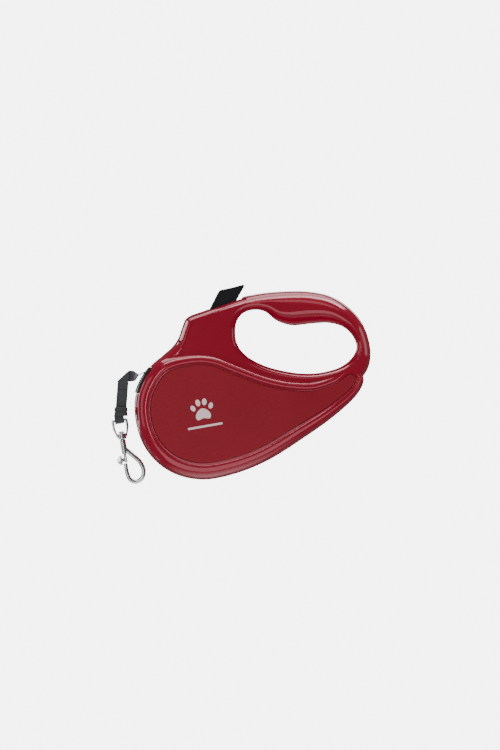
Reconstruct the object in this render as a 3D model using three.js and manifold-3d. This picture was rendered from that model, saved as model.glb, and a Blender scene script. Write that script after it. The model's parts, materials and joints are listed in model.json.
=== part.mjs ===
// Retractable tape leash: a teardrop reel housing with a loop handle, a thumb brake, a sprung
// tape reel inside, and a strap end that carries a swivel bolt snap.
// Millimetres, +X towards the back of the handle, +Y to the far side, +Z up.
import * as THREE from 'three';
import { mergeVertices } from 'three/addons/utils/BufferGeometryUtils.js';
import Module from 'manifold-3d';

const wasm = await Module();
wasm.setup();

// ---------- driving dimensions ----------
const GAP = 0.3;                          // clearance between neighbouring pieces
const GRIP = { x: 76, z: 74 };            // middle of the hand grip, measured from the reel axis

const DRUM = { crestDepth: 15.9, crestInset: 3, wall: 2.3, innerDepth: 13.4, floor: 12 };
const PANEL = { face: 15.4, seat: 13.7, play: 0.25, groove: 14.5 };
const TAIL = { from: 58, to: 108, thinner: 0.195 };   // the drum thins to the handle's depth there
const HANDLE = { depth: 12.5, neckHollow: 9.6, gripHollow: 8, lip: 4, undercut: 1.15 };

const REEL = { hub: 24.9, hubWall: 2, flange: 43.4, root: 41.5, notches: 24, notchDeg: 6.4 };
const REEL_DEPTH = { tape: 4.2, flangeIn: 4.8, flangeOut: 6.2, bore: 3.4 };
const COIL = { inner: 25.2, outer: 41.1 };
const ARBOR = { r: 3, collar: 5.2, reach: 11.6 };
const TAPE = { width: 8, thick: 0.7 };
const MAIN_SPRING = { inner: 5.6, outer: 21.6, turns: 7, thick: 0.45, halfWidth: 3.9 };

const BRAKE = { x: 15.95, z: 76.7, leanDeg: 27.07, half: 7.2, side: 7, lockRoom: 2.3 };
const NOZZLE = { inner: 44.2, outer: 48.8, fromDeg: 138.5, toDeg: 163.5, half: 10.4, play: 0.5 };
const STRAP = { width: 7.7, thick: 0.75, foldX: -54.4, foldZ: 25.5, leanDeg: 4.3 };
const KEEPER = { width: 9.1, depth: 6.6, height: 6.2, x: -56.7, z: 0.4 };
const SNAP = { x: -55.6, z: -19.3, leanDeg: -9, wire: 1.4, barrel: 2.15, bore: 1.45 };
const EYE = { barZ: 13.6, topHalf: 5.7, bottomHalf: 3.4, thick: 2.5 };
const SCREWS = [[-4.5, 56.5], [111.5, 33.5], [57, 8.5], [84, 12]];
const SCREW = { boss: 3.4, core: 1.1, shank: 1.35, head: 2.7, headTall: 1.8 };

// Edge of the side panel round the drum and along its tail: x, z and the width of the band
// outside it, from the panel to the body's edge.
const PANEL_EDGE = [
  [-35.2, -1, 11.8], [-33.6, 13, 12.2], [-24.4, 27.4, 11.6], [-9.5, 32.7, 10], [6.3, 32.9, 9.6],
  [24, 26.4, 9.6], [44, 19.2, 9.2], [62, 15.6, 9], [80, 15.4, 8.8], [95, 20.6, 7.6],
  [105, 27, 6.4], [109, 23.6, 5.6], [105.6, 18, 6.8], [90.3, 5.2, 8.4], [66, -10, 10.3],
  [41.3, -24.6, 11], [20.3, -32.2, 11.8], [0, -35.2, 12.4], [-17, -30.4, 12.6], [-29.6, -18.4, 12.2],
];
// Outline of the neck and handle: x, z and how far in the rounding of its edge reaches. The
// run from the handle's heel back to the neck lies inside the drum.
const HANDLE_EDGE = [
  [-33.2, 34.2, 4], [-28.4, 39.1, 5], [-20.6, 46, 5.5], [-16.6, 51.6, 5], [-13.4, 60.4, 4.6],
  [-11.2, 65.6, 4], [-8.2, 67.9, 4], [2, 71.6, 4], [14.5, 76.2, 4.4], [27.3, 80.9, 5.4],
  [41.3, 83.9, 7], [62.3, 85.5, 9.6], [76.3, 85.1, 10.4], [90.3, 82.2, 9], [101.6, 76, 7],
  [110.6, 67.2, 5.6], [116, 57.6, 5], [119.1, 46, 4.8], [119.3, 38, 4.8], [117.2, 30, 5],
  [109, 20, 4], [84, 4, 5], [50, -2, 6], [14, -6, 6], [-16, 4, 6], [-29.6, 22, 5],
];
// Edge of the finger opening: x, z and how far out its rounding reaches, which is widest
// under the grip.
const OPENING_EDGE = [
  [23.9, 56.5, 4], [25.2, 64.6, 4], [29.8, 70.2, 4], [37.8, 72.4, 4], [45, 71, 4.6],
  [53.2, 64.6, 7], [63.7, 61.3, 9.4], [77.7, 62.5, 9.2], [90, 63, 7.8], [100.6, 60, 4.8],
  [107.4, 53.2, 3.6], [109.7, 45.8, 3.4], [106.4, 38.4, 3.4], [98.6, 32.2, 3.4], [86, 28.3, 3.6],
  [72.8, 27.3, 3.8], [57.4, 29.3, 4], [42.7, 33.6, 4], [30.6, 40.8, 4], [25.2, 48.4, 4],
];

// The hollows inside the neck and the grip.
const NECK_HOLLOW = [
  [-12, 37], [-9, 45], [-8.6, 57], [-5.8, 63], [16, 71], [18.6, 64], [18.4, 52], [21.5, 44],
  [25, 36], [18, 30], [0, 33],
];
const GRIP_HOLLOW = [
  [44, 77.5], [50, 72], [56, 69.6], [66, 69.4], [78, 70.4], [90, 70.4], [100, 68], [105.5, 62.6],
  [103, 67.6], [97, 73.2], [88, 77], [76, 79], [60, 79.4],
];

// ---------- solids and booleans ----------
const keepPositions = (geometry) => {
  const extra = Object.keys(geometry.attributes).filter((name) => name !== 'position');
  for (const name of extra) geometry.deleteAttribute(name);
};
const solidOf = (geometry) => {
  const bare = geometry.index ? geometry.toNonIndexed() : geometry.clone();
  keepPositions(bare);
  const merged = mergeVertices(bare, 1e-4);
  return new wasm.Manifold(new wasm.Mesh({
    numProp: 3,
    vertProperties: new Float32Array(merged.attributes.position.array),
    triVerts: new Uint32Array(merged.index.array),
  }));
};
const geometryOf = (solid) => {
  const mesh = solid.getMesh();
  const geometry = new THREE.BufferGeometry();
  const places = new Float32Array(mesh.vertProperties);
  geometry.setAttribute('position', new THREE.BufferAttribute(places, 3));
  geometry.setIndex(new THREE.BufferAttribute(new Uint32Array(mesh.triVerts), 1));
  geometry.computeVertexNormals();
  return geometry;
};
const join = (...parts) => geometryOf(parts.map(solidOf).reduce((a, b) => a.add(b)));
const cut = (base, ...tools) =>
  geometryOf(tools.map(solidOf).reduce((a, b) => a.subtract(b), solidOf(base)));
const common = (a, b) => geometryOf(solidOf(a).intersect(solidOf(b)));

// ---------- shapes ----------
const rad = THREE.MathUtils.degToRad;
const polar = (r, deg) => [r * Math.cos(rad(deg)), r * Math.sin(rad(deg))];
const shapeOf = (points) => new THREE.Shape(points.map(([x, z]) => new THREE.Vector2(x, z)));

// A shape drawn in x and z, given thickness from y0 to y1.
const slab = (shape, y0, y1, options = {}) =>
  new THREE.ExtrudeGeometry(shape, { depth: y1 - y0, bevelEnabled: false, curveSegments: 6, ...options })
    .rotateX(Math.PI / 2).translate(0, y1, 0);
const box = (x0, x1, y0, y1, z0, z1) =>
  new THREE.BoxGeometry(x1 - x0, y1 - y0, z1 - z0).translate((x0 + x1) / 2, (y0 + y1) / 2, (z0 + z1) / 2);
const disc = (x, z, r, y0, y1, sides = 20) =>
  new THREE.CylinderGeometry(r, r, y1 - y0, sides).translate(x, (y0 + y1) / 2, z);
const post = (r, z0, z1, sides = 16, topR = r) =>
  new THREE.CylinderGeometry(topR, r, z1 - z0, sides).rotateX(Math.PI / 2).translate(0, 0, (z0 + z1) / 2);
const turned = (profile, sides) => {
  const closed = [...profile, profile[0]].map(([r, y]) => new THREE.Vector2(r, y));
  return consistent(new THREE.LatheGeometry(closed, sides));
};
const tube = (points, r, steps, sides = 8) => {
  const path = new THREE.CatmullRomCurve3(points.map(([x, y, z]) => new THREE.Vector3(x, y, z)));
  const section = new THREE.Shape().absarc(0, 0, r, 0, 2 * Math.PI, false);
  return new THREE.ExtrudeGeometry(section, { steps, extrudePath: path, curveSegments: sides / 2 });
};

// Closed smooth edge through the rows of a table, with its outward normals and, at each point,
// the share of the full depth that the body has there.
const edgeOf = (rows, perRow, depthAt = () => 1) => {
  const curve = new THREE.CatmullRomCurve3(rows.map(([x, z, w]) => new THREE.Vector3(x, z, w)), true);
  const points = curve.getPoints(rows.length * perRow).slice(0, -1);
  const turnsLeft = THREE.ShapeUtils.area(points) > 0 ? 1 : -1;
  return points.map((p, i) => {
    const before = points.at(i - 1);
    const after = points[(i + 1) % points.length];
    const along = new THREE.Vector2(after.x - before.x, after.y - before.y).normalize();
    const [nx, nz] = [along.y * turnsLeft, -along.x * turnsLeft];
    return { x: p.x, z: p.y, width: p.z, nx, nz, deep: depthAt(p.x) };
  });
};
const ringAt = (edge, y, offset) =>
  edge.map((p) => new THREE.Vector3(p.x + p.nx * offset(p), y * p.deep, p.z + p.nz * offset(p)));

// Triangles of a stack of rings, and of the flat faces at its first and last ring.
const stackSides = (rings, triangles) => {
  for (let k = 0; k + 1 < rings.length; k += 1) {
    rings[k].forEach((a, i) => {
      const j = (i + 1) % rings[k].length;
      triangles.push(a, rings[k][j], rings[k + 1][i], rings[k][j], rings[k + 1][j], rings[k + 1][i]);
    });
  }
};
const capFaces = (contour, holes, triangles) => {
  const flat = (ring) => ring.map((p) => new THREE.Vector2(p.x, p.z));
  const all = [contour, ...holes].flat();
  const faces = THREE.ShapeUtils.triangulateShape(flat(contour), holes.map(flat));
  for (const face of faces) triangles.push(...face.map((i) => all[i]));
};
// A closed solid from a stack of outer rings, with an optional through hole made of another
// stack. Its faces are turned the same way round before they are used.
const stacked = (outer, inner = []) => {
  const triangles = [];
  stackSides(outer, triangles);
  if (inner.length) stackSides(inner, triangles);
  capFaces(outer[0], inner.length ? [inner[0]] : [], triangles);
  capFaces(outer.at(-1), inner.length ? [inner.at(-1)] : [], triangles);
  return consistent(new THREE.BufferGeometry().setFromPoints(triangles));
};
// Turns every face so that neighbours agree and the solid's faces point out.
const consistent = (geometry) => {
  keepPositions(geometry);
  const merged = mergeVertices(geometry, 1e-4);
  const corners = (f) => [0, 1, 2].map((k) => merged.index.getX(3 * f + k));
  const faces = Array.from({ length: merged.index.count / 3 }, (_, f) => corners(f));
  merged.setIndex(faces.filter(([a, b, c]) => a !== b && b !== c && c !== a).flat());
  const index = merged.index.array;
  const sides = new Map();
  const key = (a, b) => (a < b ? `${a},${b}` : `${b},${a}`);
  for (let f = 0; f < index.length; f += 3) {
    for (let k = 0; k < 3; k += 1) {
      const name = key(index[f + k], index[f + (k + 1) % 3]);
      sides.set(name, [...(sides.get(name) ?? []), f]);
    }
  }
  const runsWith = (f, a, b) => [0, 1, 2].some((k) => index[f + k] === a && index[f + (k + 1) % 3] === b);
  const done = new Set([0]);
  const queue = [0];
  while (queue.length) {
    const f = queue.pop();
    for (let k = 0; k < 3; k += 1) {
      const [a, b] = [index[f + k], index[f + (k + 1) % 3]];
      for (const g of sides.get(key(a, b))) {
        if (done.has(g)) continue;
        if (runsWith(g, a, b)) [index[g + 1], index[g + 2]] = [index[g + 2], index[g + 1]];
        done.add(g);
        queue.push(g);
      }
    }
  }
  const at = (i) => new THREE.Vector3().fromBufferAttribute(merged.attributes.position, i);
  let volume = 0;
  for (let f = 0; f < index.length; f += 3) {
    volume += at(index[f]).dot(at(index[f + 1]).cross(at(index[f + 2])));
  }
  for (let f = 0; f < index.length && volume < 0; f += 3) {
    [index[f + 1], index[f + 2]] = [index[f + 2], index[f + 1]];
  }
  return merged;
};
// A solid through a row of four-cornered sections.
const ribbon = (sections) => {
  const triangles = [];
  stackSides(sections, triangles);
  for (const [a, b, c, d] of [sections[0], sections.at(-1)]) triangles.push(a, b, c, a, c, d);
  return consistent(new THREE.BufferGeometry().setFromPoints(triangles));
};
const section = (x, y, z, across, through, width, thick) => {
  const centre = new THREE.Vector3(x, y, z);
  const corner = (i, j) => centre.clone().addScaledVector(across, (i * width) / 2)
    .addScaledVector(through, (j * thick) / 2);
  return [corner(-1, -1), corner(1, -1), corner(1, 1), corner(-1, 1)];
};

// ---------- housing ----------
const tailDepth = (x) => 1 - TAIL.thinner * THREE.MathUtils.smoothstep(x, TAIL.from, TAIL.to);
const drumEdge = edgeOf(PANEL_EDGE, 3, tailDepth);
const handleEdge = edgeOf(HANDLE_EDGE, 2);
const openingEdge = edgeOf(OPENING_EDGE, 2);
const quarter = [0, 26, 50, 70, 90].map(rad);

// The drum's band rounds from the body's edge up to a crest, then drops into the groove round
// the panel.
const drumHalf = (side) => {
  const { crestDepth, crestInset } = DRUM;
  const band = quarter.map((t) => ringAt(drumEdge, side * Math.max(GAP / 2, crestDepth * Math.sin(t)),
    (p) => crestInset + (p.width - crestInset) * Math.cos(t)));
  return stacked([...band, ringAt(drumEdge, side * PANEL.groove, () => 1.5)]);
};
// What lies inside the panel's edge, between two depths that thin towards the tail.
const panelLayer = (side, out, near, far) => {
  const steps = Array.from({ length: 20 }, (_, k) => -60 + 10 * k);
  const row = (depth) => steps.map((x) => new THREE.Vector2(x, side * depth * tailDepth(x)));
  const layer = new THREE.ExtrudeGeometry(new THREE.Shape([...row(near), ...row(far).reverse()]),
    { depth: 200, bevelEnabled: false }).translate(0, 0, -100);
  const edge = new THREE.Shape(ringAt(drumEdge, 0, () => out).map((p) => new THREE.Vector2(p.x, p.z)));
  return common(layer, slab(edge, -30, 30));
};
const openingDepth = (p) => HANDLE.lip + (p.width - HANDLE.lip) * HANDLE.undercut;
const handleHalf = (side) => {
  const outer = quarter.map((t) => ringAt(handleEdge, side * Math.max(GAP / 2, HANDLE.depth * Math.sin(t)),
    (p) => -p.width * (1 - Math.cos(t))));
  const inner = [openingEdge.map((p) => new THREE.Vector3(p.x, side * GAP / 2, p.z)),
    ...quarter.map((t) => openingEdge.map((p) => new THREE.Vector3(
      p.x + p.nx * p.width * (1 - Math.cos(t)),
      side * (HANDLE.depth - openingDepth(p) * (1 - Math.sin(t))),
      p.z + p.nz * p.width * (1 - Math.cos(t)))))];
  return stacked(outer, inner);
};
const drumCavity = (side) => stacked([-1, 6.4, 9.6, DRUM.floor].map((depth) =>
  ringAt(drumEdge, side * depth, (p) => DRUM.crestInset
    + (p.width - DRUM.wall - DRUM.crestInset) * Math.sqrt(1 - (Math.max(depth, 0) / DRUM.innerDepth) ** 2))));
const reelWell = (side) => {
  const [far, near] = [[43.9, 6.9], [41.9, DRUM.floor]];
  return turned([[0, -side], [44.6, -side], [44.6, side * 4], [far[0], side * far[1]],
    [near[0], side * far[1]], [near[0], side * near[1]], [0, side * near[1]]], 44);
};
const hollow = (outline, deep, side) => slabOn(side, -1, deep, (y0, y1) => slab(shapeOf(outline), y0, y1));
const atBrake = (geometry) => geometry.rotateY(rad(BRAKE.leanDeg)).translate(BRAKE.x, 0, BRAKE.z);
const brakeSlot = () => atBrake(box(-BRAKE.half - GAP, BRAKE.half + BRAKE.lockRoom, -BRAKE.side - GAP,
  BRAKE.side + GAP, -16, 24));
// Part of a ring round the reel axis, grown by some degrees at each end and by the gap elsewhere.
const nozzleBlock = (play, gap, outer) => {
  const [a, b] = [NOZZLE.fromDeg - play, NOZZLE.toDeg + play];
  const arc = (r, from, to) => [0, 1, 2, 3].map((k) => polar(r, from + ((to - from) * k) / 3));
  return slab(shapeOf([...arc(NOZZLE.inner - gap, a, b), ...arc(outer, b, a)]), -NOZZLE.half - gap,
    NOZZLE.half + gap);
};
// The straight way that the tape takes from the top of the coil out through the nozzle.
const tapeWay = () => box(-16, 14, -TAPE.width / 2 - 0.5, TAPE.width / 2 + 0.5, -1, 1)
  .rotateY(rad(-24)).translate(-41.5, 0, 27.6);
// A solid between two depths on one side of the parting plane.
const slabOn = (side, near, far, make) => (side > 0 ? make(near, far) : make(-far, -near));
const arborBoss = (side) => slabOn(side, 8.2, 13, (y0, y1) => disc(0, 0, ARBOR.collar + 2.4, y0, y1, 20));
const screwBoss = ([x, z], side) =>
  slabOn(side, GAP / 2, 13, (y0, y1) => disc(x, z, SCREW.boss, y0, y1, 14));

const shell = (side) => {
  const skin = cut(join(drumHalf(side), handleHalf(side)), panelLayer(side, PANEL.play, PANEL.seat, 24));
  const walls = cut(skin, drumCavity(side), reelWell(side), hollow(NECK_HOLLOW, HANDLE.neckHollow, side),
    hollow(GRIP_HOLLOW, HANDLE.gripHollow, side));
  const bosses = [arborBoss(side), ...SCREWS.map((at) => screwBoss(at, side))].map((b) => common(b, skin));
  const whole = join(walls, ...bosses);
  const holes = SCREWS.map(([x, z]) => (side > 0
    ? join(disc(x, z, SCREW.shank + GAP, -1, 17, 12), disc(x, z, SCREW.head + GAP, 9, 17, 14))
    : disc(x, z, SCREW.core, -9, 1, 12)));
  const seat = slabOn(side, 6, ARBOR.reach + GAP, (y0, y1) => disc(0, 0, ARBOR.collar + GAP, y0, y1, 20));
  const nozzlePocket = nozzleBlock(NOZZLE.play, GAP, NOZZLE.outer + 8);
  return cut(whole, ...holes, brakeSlot(), nozzlePocket, tapeWay(), seat);
};
const panel = (side) => join(panelLayer(side, -0.05, PANEL.seat + GAP, PANEL.face - 0.4),
  panelLayer(side, -0.45, PANEL.face - 0.5, PANEL.face));
const screw = ([x, z]) => join(disc(x, z, SCREW.head, 9.3, 9.3 + SCREW.headTall, 14),
  disc(x, z, SCREW.shank - 0.05, 0.5, 9.5, 10), disc(x, z, SCREW.core - GAP, -8, 1, 10));

// ---------- reel ----------
const notchedDisc = (y0, y1) => {
  const pitch = 360 / REEL.notches;
  const shape = Array.from({ length: REEL.notches }, (_, i) => {
    const at = 92.3 + i * pitch;
    const half = REEL.notchDeg / 2;
    return [polar(REEL.root, at - half), polar(REEL.root, at + half),
      polar(REEL.flange, at + half + 1), polar(REEL.flange, at + pitch - half - 1)];
  }).flat();
  return slab(shapeOf(shape), y0, y1);
};
const reelDrum = () => {
  const { tape, flangeIn, flangeOut, bore } = REEL_DEPTH;
  const hub = cut(disc(0, 0, REEL.hub, -flangeIn - 0.5, tape + 0.3, 40),
    disc(0, 0, REEL.hub - REEL.hubWall, -flangeIn, 9, 32));
  const windows = [0, 1, 2, 3, 4].map((k) => disc(...polar(33.5, 20 + 72 * k), 5, -9, 0, 16));
  return cut(join(notchedDisc(-flangeOut, -flangeIn), hub), disc(0, 0, bore, -9, 9, 16), ...windows);
};
const reelCover = () => {
  const { flangeIn, flangeOut, bore } = REEL_DEPTH;
  return cut(notchedDisc(flangeIn, flangeOut), disc(0, 0, bore, -9, 9, 16));
};
const ringOf = (inner, outer, y0, y1, sides) =>
  turned([[inner, y0], [outer, y0], [outer, y1], [inner, y1]], sides);
const tapeCoil = () => ringOf(COIL.inner, COIL.outer, -REEL_DEPTH.tape + 0.2, REEL_DEPTH.tape - 0.2, 44);
const bush = (side) => ringOf(ARBOR.r + GAP, ARBOR.collar, side * 6.5, side * 7.2, 16);
const arbor = () => join(disc(0, 0, ARBOR.r, -ARBOR.reach, ARBOR.reach, 16),
  ...[-1, 1].map((side) => slabOn(side, 8.2, ARBOR.reach, (y0, y1) => disc(0, 0, ARBOR.collar, y0, y1, 20))));
const mainSpring = () => {
  const { inner, outer, turns, thick, halfWidth } = MAIN_SPRING;
  const steps = turns * 14;
  return ribbon(Array.from({ length: steps + 1 }, (_, k) => {
    const r = inner + ((outer - inner) * k) / steps;
    const [x, z] = polar(1, (360 * turns * k) / steps);
    const [across, through] = [new THREE.Vector3(0, 1, 0), new THREE.Vector3(x, 0, z)];
    return section(x * r, 0, z * r, across, through, 2 * halfWidth, thick);
  }));
};

// ---------- tape and strap ----------
const tapeRun = () => {
  const along = [[-19.4, 37.5, 0], [-38, 29.2, 0], [-44.6, 26.2, 0], [-47.6, 25.6, 45], [-50.6, 25.5, 90],
    [-58.2, 25.5, 90]];
  const heading = (i) => {
    const [a, b] = [along[Math.max(i - 1, 0)], along[Math.min(i + 1, along.length - 1)]];
    return new THREE.Vector3(b[0] - a[0], 0, b[1] - a[1]).normalize();
  };
  return ribbon(along.map(([x, z, twist], i) => {
    const across = new THREE.Vector3(0, 1, 0).applyAxisAngle(heading(i), rad(twist));
    const through = new THREE.Vector3().crossVectors(across, heading(i));
    return section(x, 0, z, across, through, i < 2 ? TAPE.width : STRAP.width, TAPE.thick);
  }));
};
const nozzle = () => {
  const flare = box(-4, 4, -TAPE.width / 2 - 1.2, TAPE.width / 2 + 1.2, -2.4, 2.4);
  return cut(nozzleBlock(0, 0, NOZZLE.outer), tapeWay(), flare.rotateY(rad(-12)).translate(-48.2, 0, 25.6));
};
const strapRun = () => {
  const [top, bottom] = [STRAP.foldZ - 4.3, KEEPER.z + KEEPER.height / 2 + GAP];
  const lean = Math.tan(rad(STRAP.leanDeg));
  const across = new THREE.Vector3(1, 0, 0);
  const through = new THREE.Vector3(0, 1, 0);
  return ribbon([top, bottom].map((z) =>
    section(STRAP.foldX - (STRAP.foldZ - z) * lean, 0, z, across, through, STRAP.width, STRAP.thick)));
};
const keeper = () => {
  const round = 0.8;
  const [half, tall, deep] = [KEEPER.width, KEEPER.height, KEEPER.depth].map((size) => size / 2 - round);
  return slab(shapeOf([[-half, -tall], [half, -tall], [half, tall], [-half, tall]]), -deep, deep,
    { bevelEnabled: true, bevelSize: round, bevelThickness: round, bevelSegments: 2 })
    .translate(KEEPER.x, 0, KEEPER.z);
};
const strapLoop = () => {
  const z = EYE.barZ;
  const stadium = (y, high, w) => {
    const shape = new THREE.Shape().moveTo(y, high).lineTo(-y, high).lineTo(-y, z)
      .absarc(0, z, y, Math.PI, 2 * Math.PI, false).lineTo(y, high);
    return slab(shape, -w / 2, w / 2).rotateZ(Math.PI / 2);
  };
  return cut(stadium(2.3, z + 1.95, 6.6), stadium(1.6, z + 1.45, 9));
};

// ---------- snap ----------
// A row of x and z on the right, closed by its mirror image on the left.
const mirrored = (right) => shapeOf([...right, ...right.map(([x, z]) => [-x, z]).reverse()]);
const swivelEye = () => {
  const round = 0.5;
  const [low, high] = [EYE.bottomHalf - round, EYE.topHalf - round];
  const frame = mirrored([[low, 1.6 + round], [high, 8.5], [high, EYE.barZ + 0.2],
    [high - 1.3, EYE.barZ + 1.1 - round]]);
  frame.holes.push(mirrored([[3.2, 4.1], [4.2, 8.4], [4.2, EYE.barZ - 0.6]]));
  const loop = slab(frame, -EYE.thick / 2 + round, EYE.thick / 2 - round,
    { bevelEnabled: true, bevelSize: round, bevelThickness: round, bevelSegments: 1 });
  return cut(join(loop, post(2.9, 0.35, 4.3, 16)), post(1.65, -2, 8, 16), post(2.75, 4.3, 7, 16));
};
const snapHook = () => {
  const { wire, barrel, bore } = SNAP;
  const bow = tube([[0.9, 0, -7], [5.2, 0, -11.9], [9.6, 0, -17.4], [11.3, 0, -23.4], [9.3, 0, -28.9],
    [4.6, 0, -30.9], [0.9, 0, -28.6], [-0.5, 0, -23.6], [-0.6, 0, -16.9]], wire, 22);
  const stem = join(post(barrel, -10.2, 0, 16), post(1.35, -0.5, 5, 14), post(2.3, 4.65, 5.9, 14, 1.7));
  return cut(join(stem, bow), post(bore, -14, -1.4, 14), box(-4, 0, -0.75, 0.75, -14, -7));
};
const snapBolt = () => {
  const knob = cut(disc(-2.6, -14.4, 3.4, -1, 1, 20), box(-2.5, 4, -2, 2, -19, -10));
  return join(post(SNAP.bore - GAP, -16.5, -8.6, 12), box(-3.2, 0, -0.4, 0.4, -15.6, -13), knob);
};
const helix = (r, wire, z0, z1, turns, perTurn) => {
  const steps = turns * perTurn;
  const at = (k) => [...polar(r, (360 * k) / perTurn), z0 + ((z1 - z0) * k) / steps];
  return tube(Array.from({ length: steps + 1 }, (_, k) => at(k)), wire, steps, 6);
};

// ---------- assembly ----------
const finishes = {
  redGloss: { color: 0xa5182a, roughness: 0.18, metalness: 0 },
  redPanel: { color: 0x82161f, roughness: 0.4, metalness: 0 },
  blackGloss: { color: 0x0c0c0d, roughness: 0.2, metalness: 0 },
  blackMatte: { color: 0x1c1c1e, roughness: 0.7, metalness: 0 },
  webbing: { color: 0x151517, roughness: 0.9, metalness: 0 },
  chrome: { color: 0xcfd2d6, roughness: 0.12, metalness: 1 },
  steel: { color: 0x8a8d92, roughness: 0.35, metalness: 1 },
  nylon: { color: 0xd8d6cf, roughness: 0.5, metalness: 0 },
};
const group = new THREE.Group();
group.position.set(-GRIP.x, 0, -GRIP.z);
const brakeFrame = new THREE.Group();
brakeFrame.position.set(BRAKE.x, 0, BRAKE.z);
brakeFrame.rotation.y = rad(BRAKE.leanDeg);
const snapFrame = new THREE.Group();
snapFrame.position.set(SNAP.x, 0, SNAP.z);
snapFrame.rotation.y = rad(SNAP.leanDeg);
group.add(brakeFrame, snapFrame);

const place = (parent, name, geometry, finish) => {
  const mesh = new THREE.Mesh(geometry, new THREE.MeshStandardMaterial(finishes[finish]));
  mesh.name = name;
  parent.add(mesh);
};
place(group, 'front_shell', shell(-1), 'redGloss');
place(group, 'rear_shell', shell(1), 'redGloss');
place(group, 'front_panel', panel(-1), 'redPanel');
place(group, 'rear_panel', panel(1), 'redPanel');
place(group, 'nozzle', nozzle(), 'blackGloss');
place(group, 'spring_arbor', arbor(), 'steel');
place(group, 'front_bush', bush(-1), 'nylon');
place(group, 'rear_bush', bush(1), 'nylon');
SCREWS.forEach((at, i) => place(group, `housing_screw_${i + 1}`, screw(at), 'steel'));
place(group, 'reel_drum', reelDrum(), 'blackMatte');
place(group, 'reel_cover', reelCover(), 'blackMatte');
place(group, 'tape_coil', tapeCoil(), 'webbing');
place(group, 'main_spring', mainSpring(), 'steel');
place(group, 'tape_run', tapeRun(), 'webbing');
place(group, 'strap_run', strapRun(), 'webbing');
place(group, 'tape_keeper', keeper(), 'blackMatte');
place(snapFrame, 'strap_loop', strapLoop(), 'webbing');
place(snapFrame, 'swivel_eye', swivelEye(), 'chrome');
place(snapFrame, 'snap_hook', snapHook(), 'chrome');
place(snapFrame, 'snap_bolt', snapBolt(), 'chrome');
place(snapFrame, 'bolt_spring', helix(0.95, 0.2, -8.2, -1.8, 6, 8), 'steel');

// The button is drawn in its own frame, in which it is pressed along -z; its top slopes up to
// a thin rear tip.
const button = () => {
  const { half, side } = BRAKE;
  const profile = shapeOf([[-half, -12.5], [half - 0.2, -12.5], [half - 0.2, 7.8], [half, 17.6],
    [half - 0.8, 18.4], [-half + 2.2, 8.6], [-half + 0.4, 6.6], [-half, 4.8]]);
  return slab(profile, -side, side);
};
const plunger = () => {
  const head = box(-6, 6, -5, 5, -16.6, -12.8);
  const stem = box(-2.2, 2.2, -2.6, 2.6, -31, -16.5);
  const blade = slab(shapeOf([[-2.2, -27.5], [-1.3, -35.4], [1.3, -35.4], [2.2, -27.5]]), -6, 6);
  return join(head, stem, blade);
};
place(brakeFrame, 'brake_button', button(), 'blackGloss');
place(brakeFrame, 'brake_plunger', plunger(), 'blackMatte');
place(brakeFrame, 'brake_spring', helix(4.2, 0.45, -26.4, -17.3, 4, 10), 'steel');

export default group;
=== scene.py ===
"""Retractable tape leash: the finished look of every piece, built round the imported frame.

Lengths are drawn in millimetres from the reel's axis (x towards the back of the handle, y to the
far side, z up) and turned into metres of the row frame when a piece is made.
"""

from __future__ import annotations

import json
import logging
import math
from dataclasses import dataclass
from enum import Enum
from typing import Callable, Sequence

import bmesh
import bpy
from mathutils import Matrix, Vector
from mathutils.bvhtree import BVHTree
from mathutils.kdtree import KDTree

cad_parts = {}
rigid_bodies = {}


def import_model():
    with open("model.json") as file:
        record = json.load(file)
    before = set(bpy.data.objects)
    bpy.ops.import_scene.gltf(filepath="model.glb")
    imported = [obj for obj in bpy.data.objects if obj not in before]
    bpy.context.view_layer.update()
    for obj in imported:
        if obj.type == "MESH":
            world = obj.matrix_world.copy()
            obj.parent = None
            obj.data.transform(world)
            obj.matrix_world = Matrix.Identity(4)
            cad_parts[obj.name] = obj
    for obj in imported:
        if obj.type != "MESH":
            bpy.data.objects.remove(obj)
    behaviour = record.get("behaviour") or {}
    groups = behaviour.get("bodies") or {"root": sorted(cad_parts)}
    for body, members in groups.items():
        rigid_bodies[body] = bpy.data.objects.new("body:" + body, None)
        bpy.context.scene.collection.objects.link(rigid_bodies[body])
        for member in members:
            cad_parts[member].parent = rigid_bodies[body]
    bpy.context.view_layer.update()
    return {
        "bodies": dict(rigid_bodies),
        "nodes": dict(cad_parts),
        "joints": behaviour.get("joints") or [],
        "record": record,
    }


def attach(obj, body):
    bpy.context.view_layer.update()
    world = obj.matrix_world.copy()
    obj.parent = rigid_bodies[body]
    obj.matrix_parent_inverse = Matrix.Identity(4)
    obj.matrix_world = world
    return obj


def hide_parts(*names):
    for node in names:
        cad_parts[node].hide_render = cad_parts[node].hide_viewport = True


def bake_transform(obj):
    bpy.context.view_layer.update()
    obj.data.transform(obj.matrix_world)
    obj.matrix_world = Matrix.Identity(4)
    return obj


log = logging.getLogger("leash")

Row = tuple[float, float, float]
Profile = Sequence[tuple[float, float]]
Reach = Callable[["EdgePoint"], float]
Face, Object = bmesh.types.BMFace, bpy.types.Object

MM = 0.001
GAP = 0.3
FRONT, REAR = -1, 1
X_AXIS, Y_AXIS, Z_AXIS = Vector((1, 0, 0)), Vector((0, 1, 0)), Vector((0, 0, 1))

# Edge of the side panel: x, z and the width of the band from there to the body's edge.
PANEL_EDGE: tuple[Row, ...] = (
    (-35.2, -1, 11.8), (-33.6, 13, 12.2), (-24.4, 27.4, 11.6), (-9.5, 32.7, 10), (6.3, 32.9, 9.6),
    (24, 26.4, 9.6), (44, 19.2, 9.2), (62, 15.6, 9), (80, 15.4, 8.8), (95, 20.6, 7.6),
    (105, 27, 6.4), (109, 23.6, 5.6), (105.6, 18, 6.8), (90.3, 5.2, 8.4), (66, -10, 10.3),
    (41.3, -24.6, 11), (20.3, -32.2, 11.8), (0, -35.2, 12.4), (-17, -30.4, 12.6),
    (-29.6, -18.4, 12.2),
)
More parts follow.
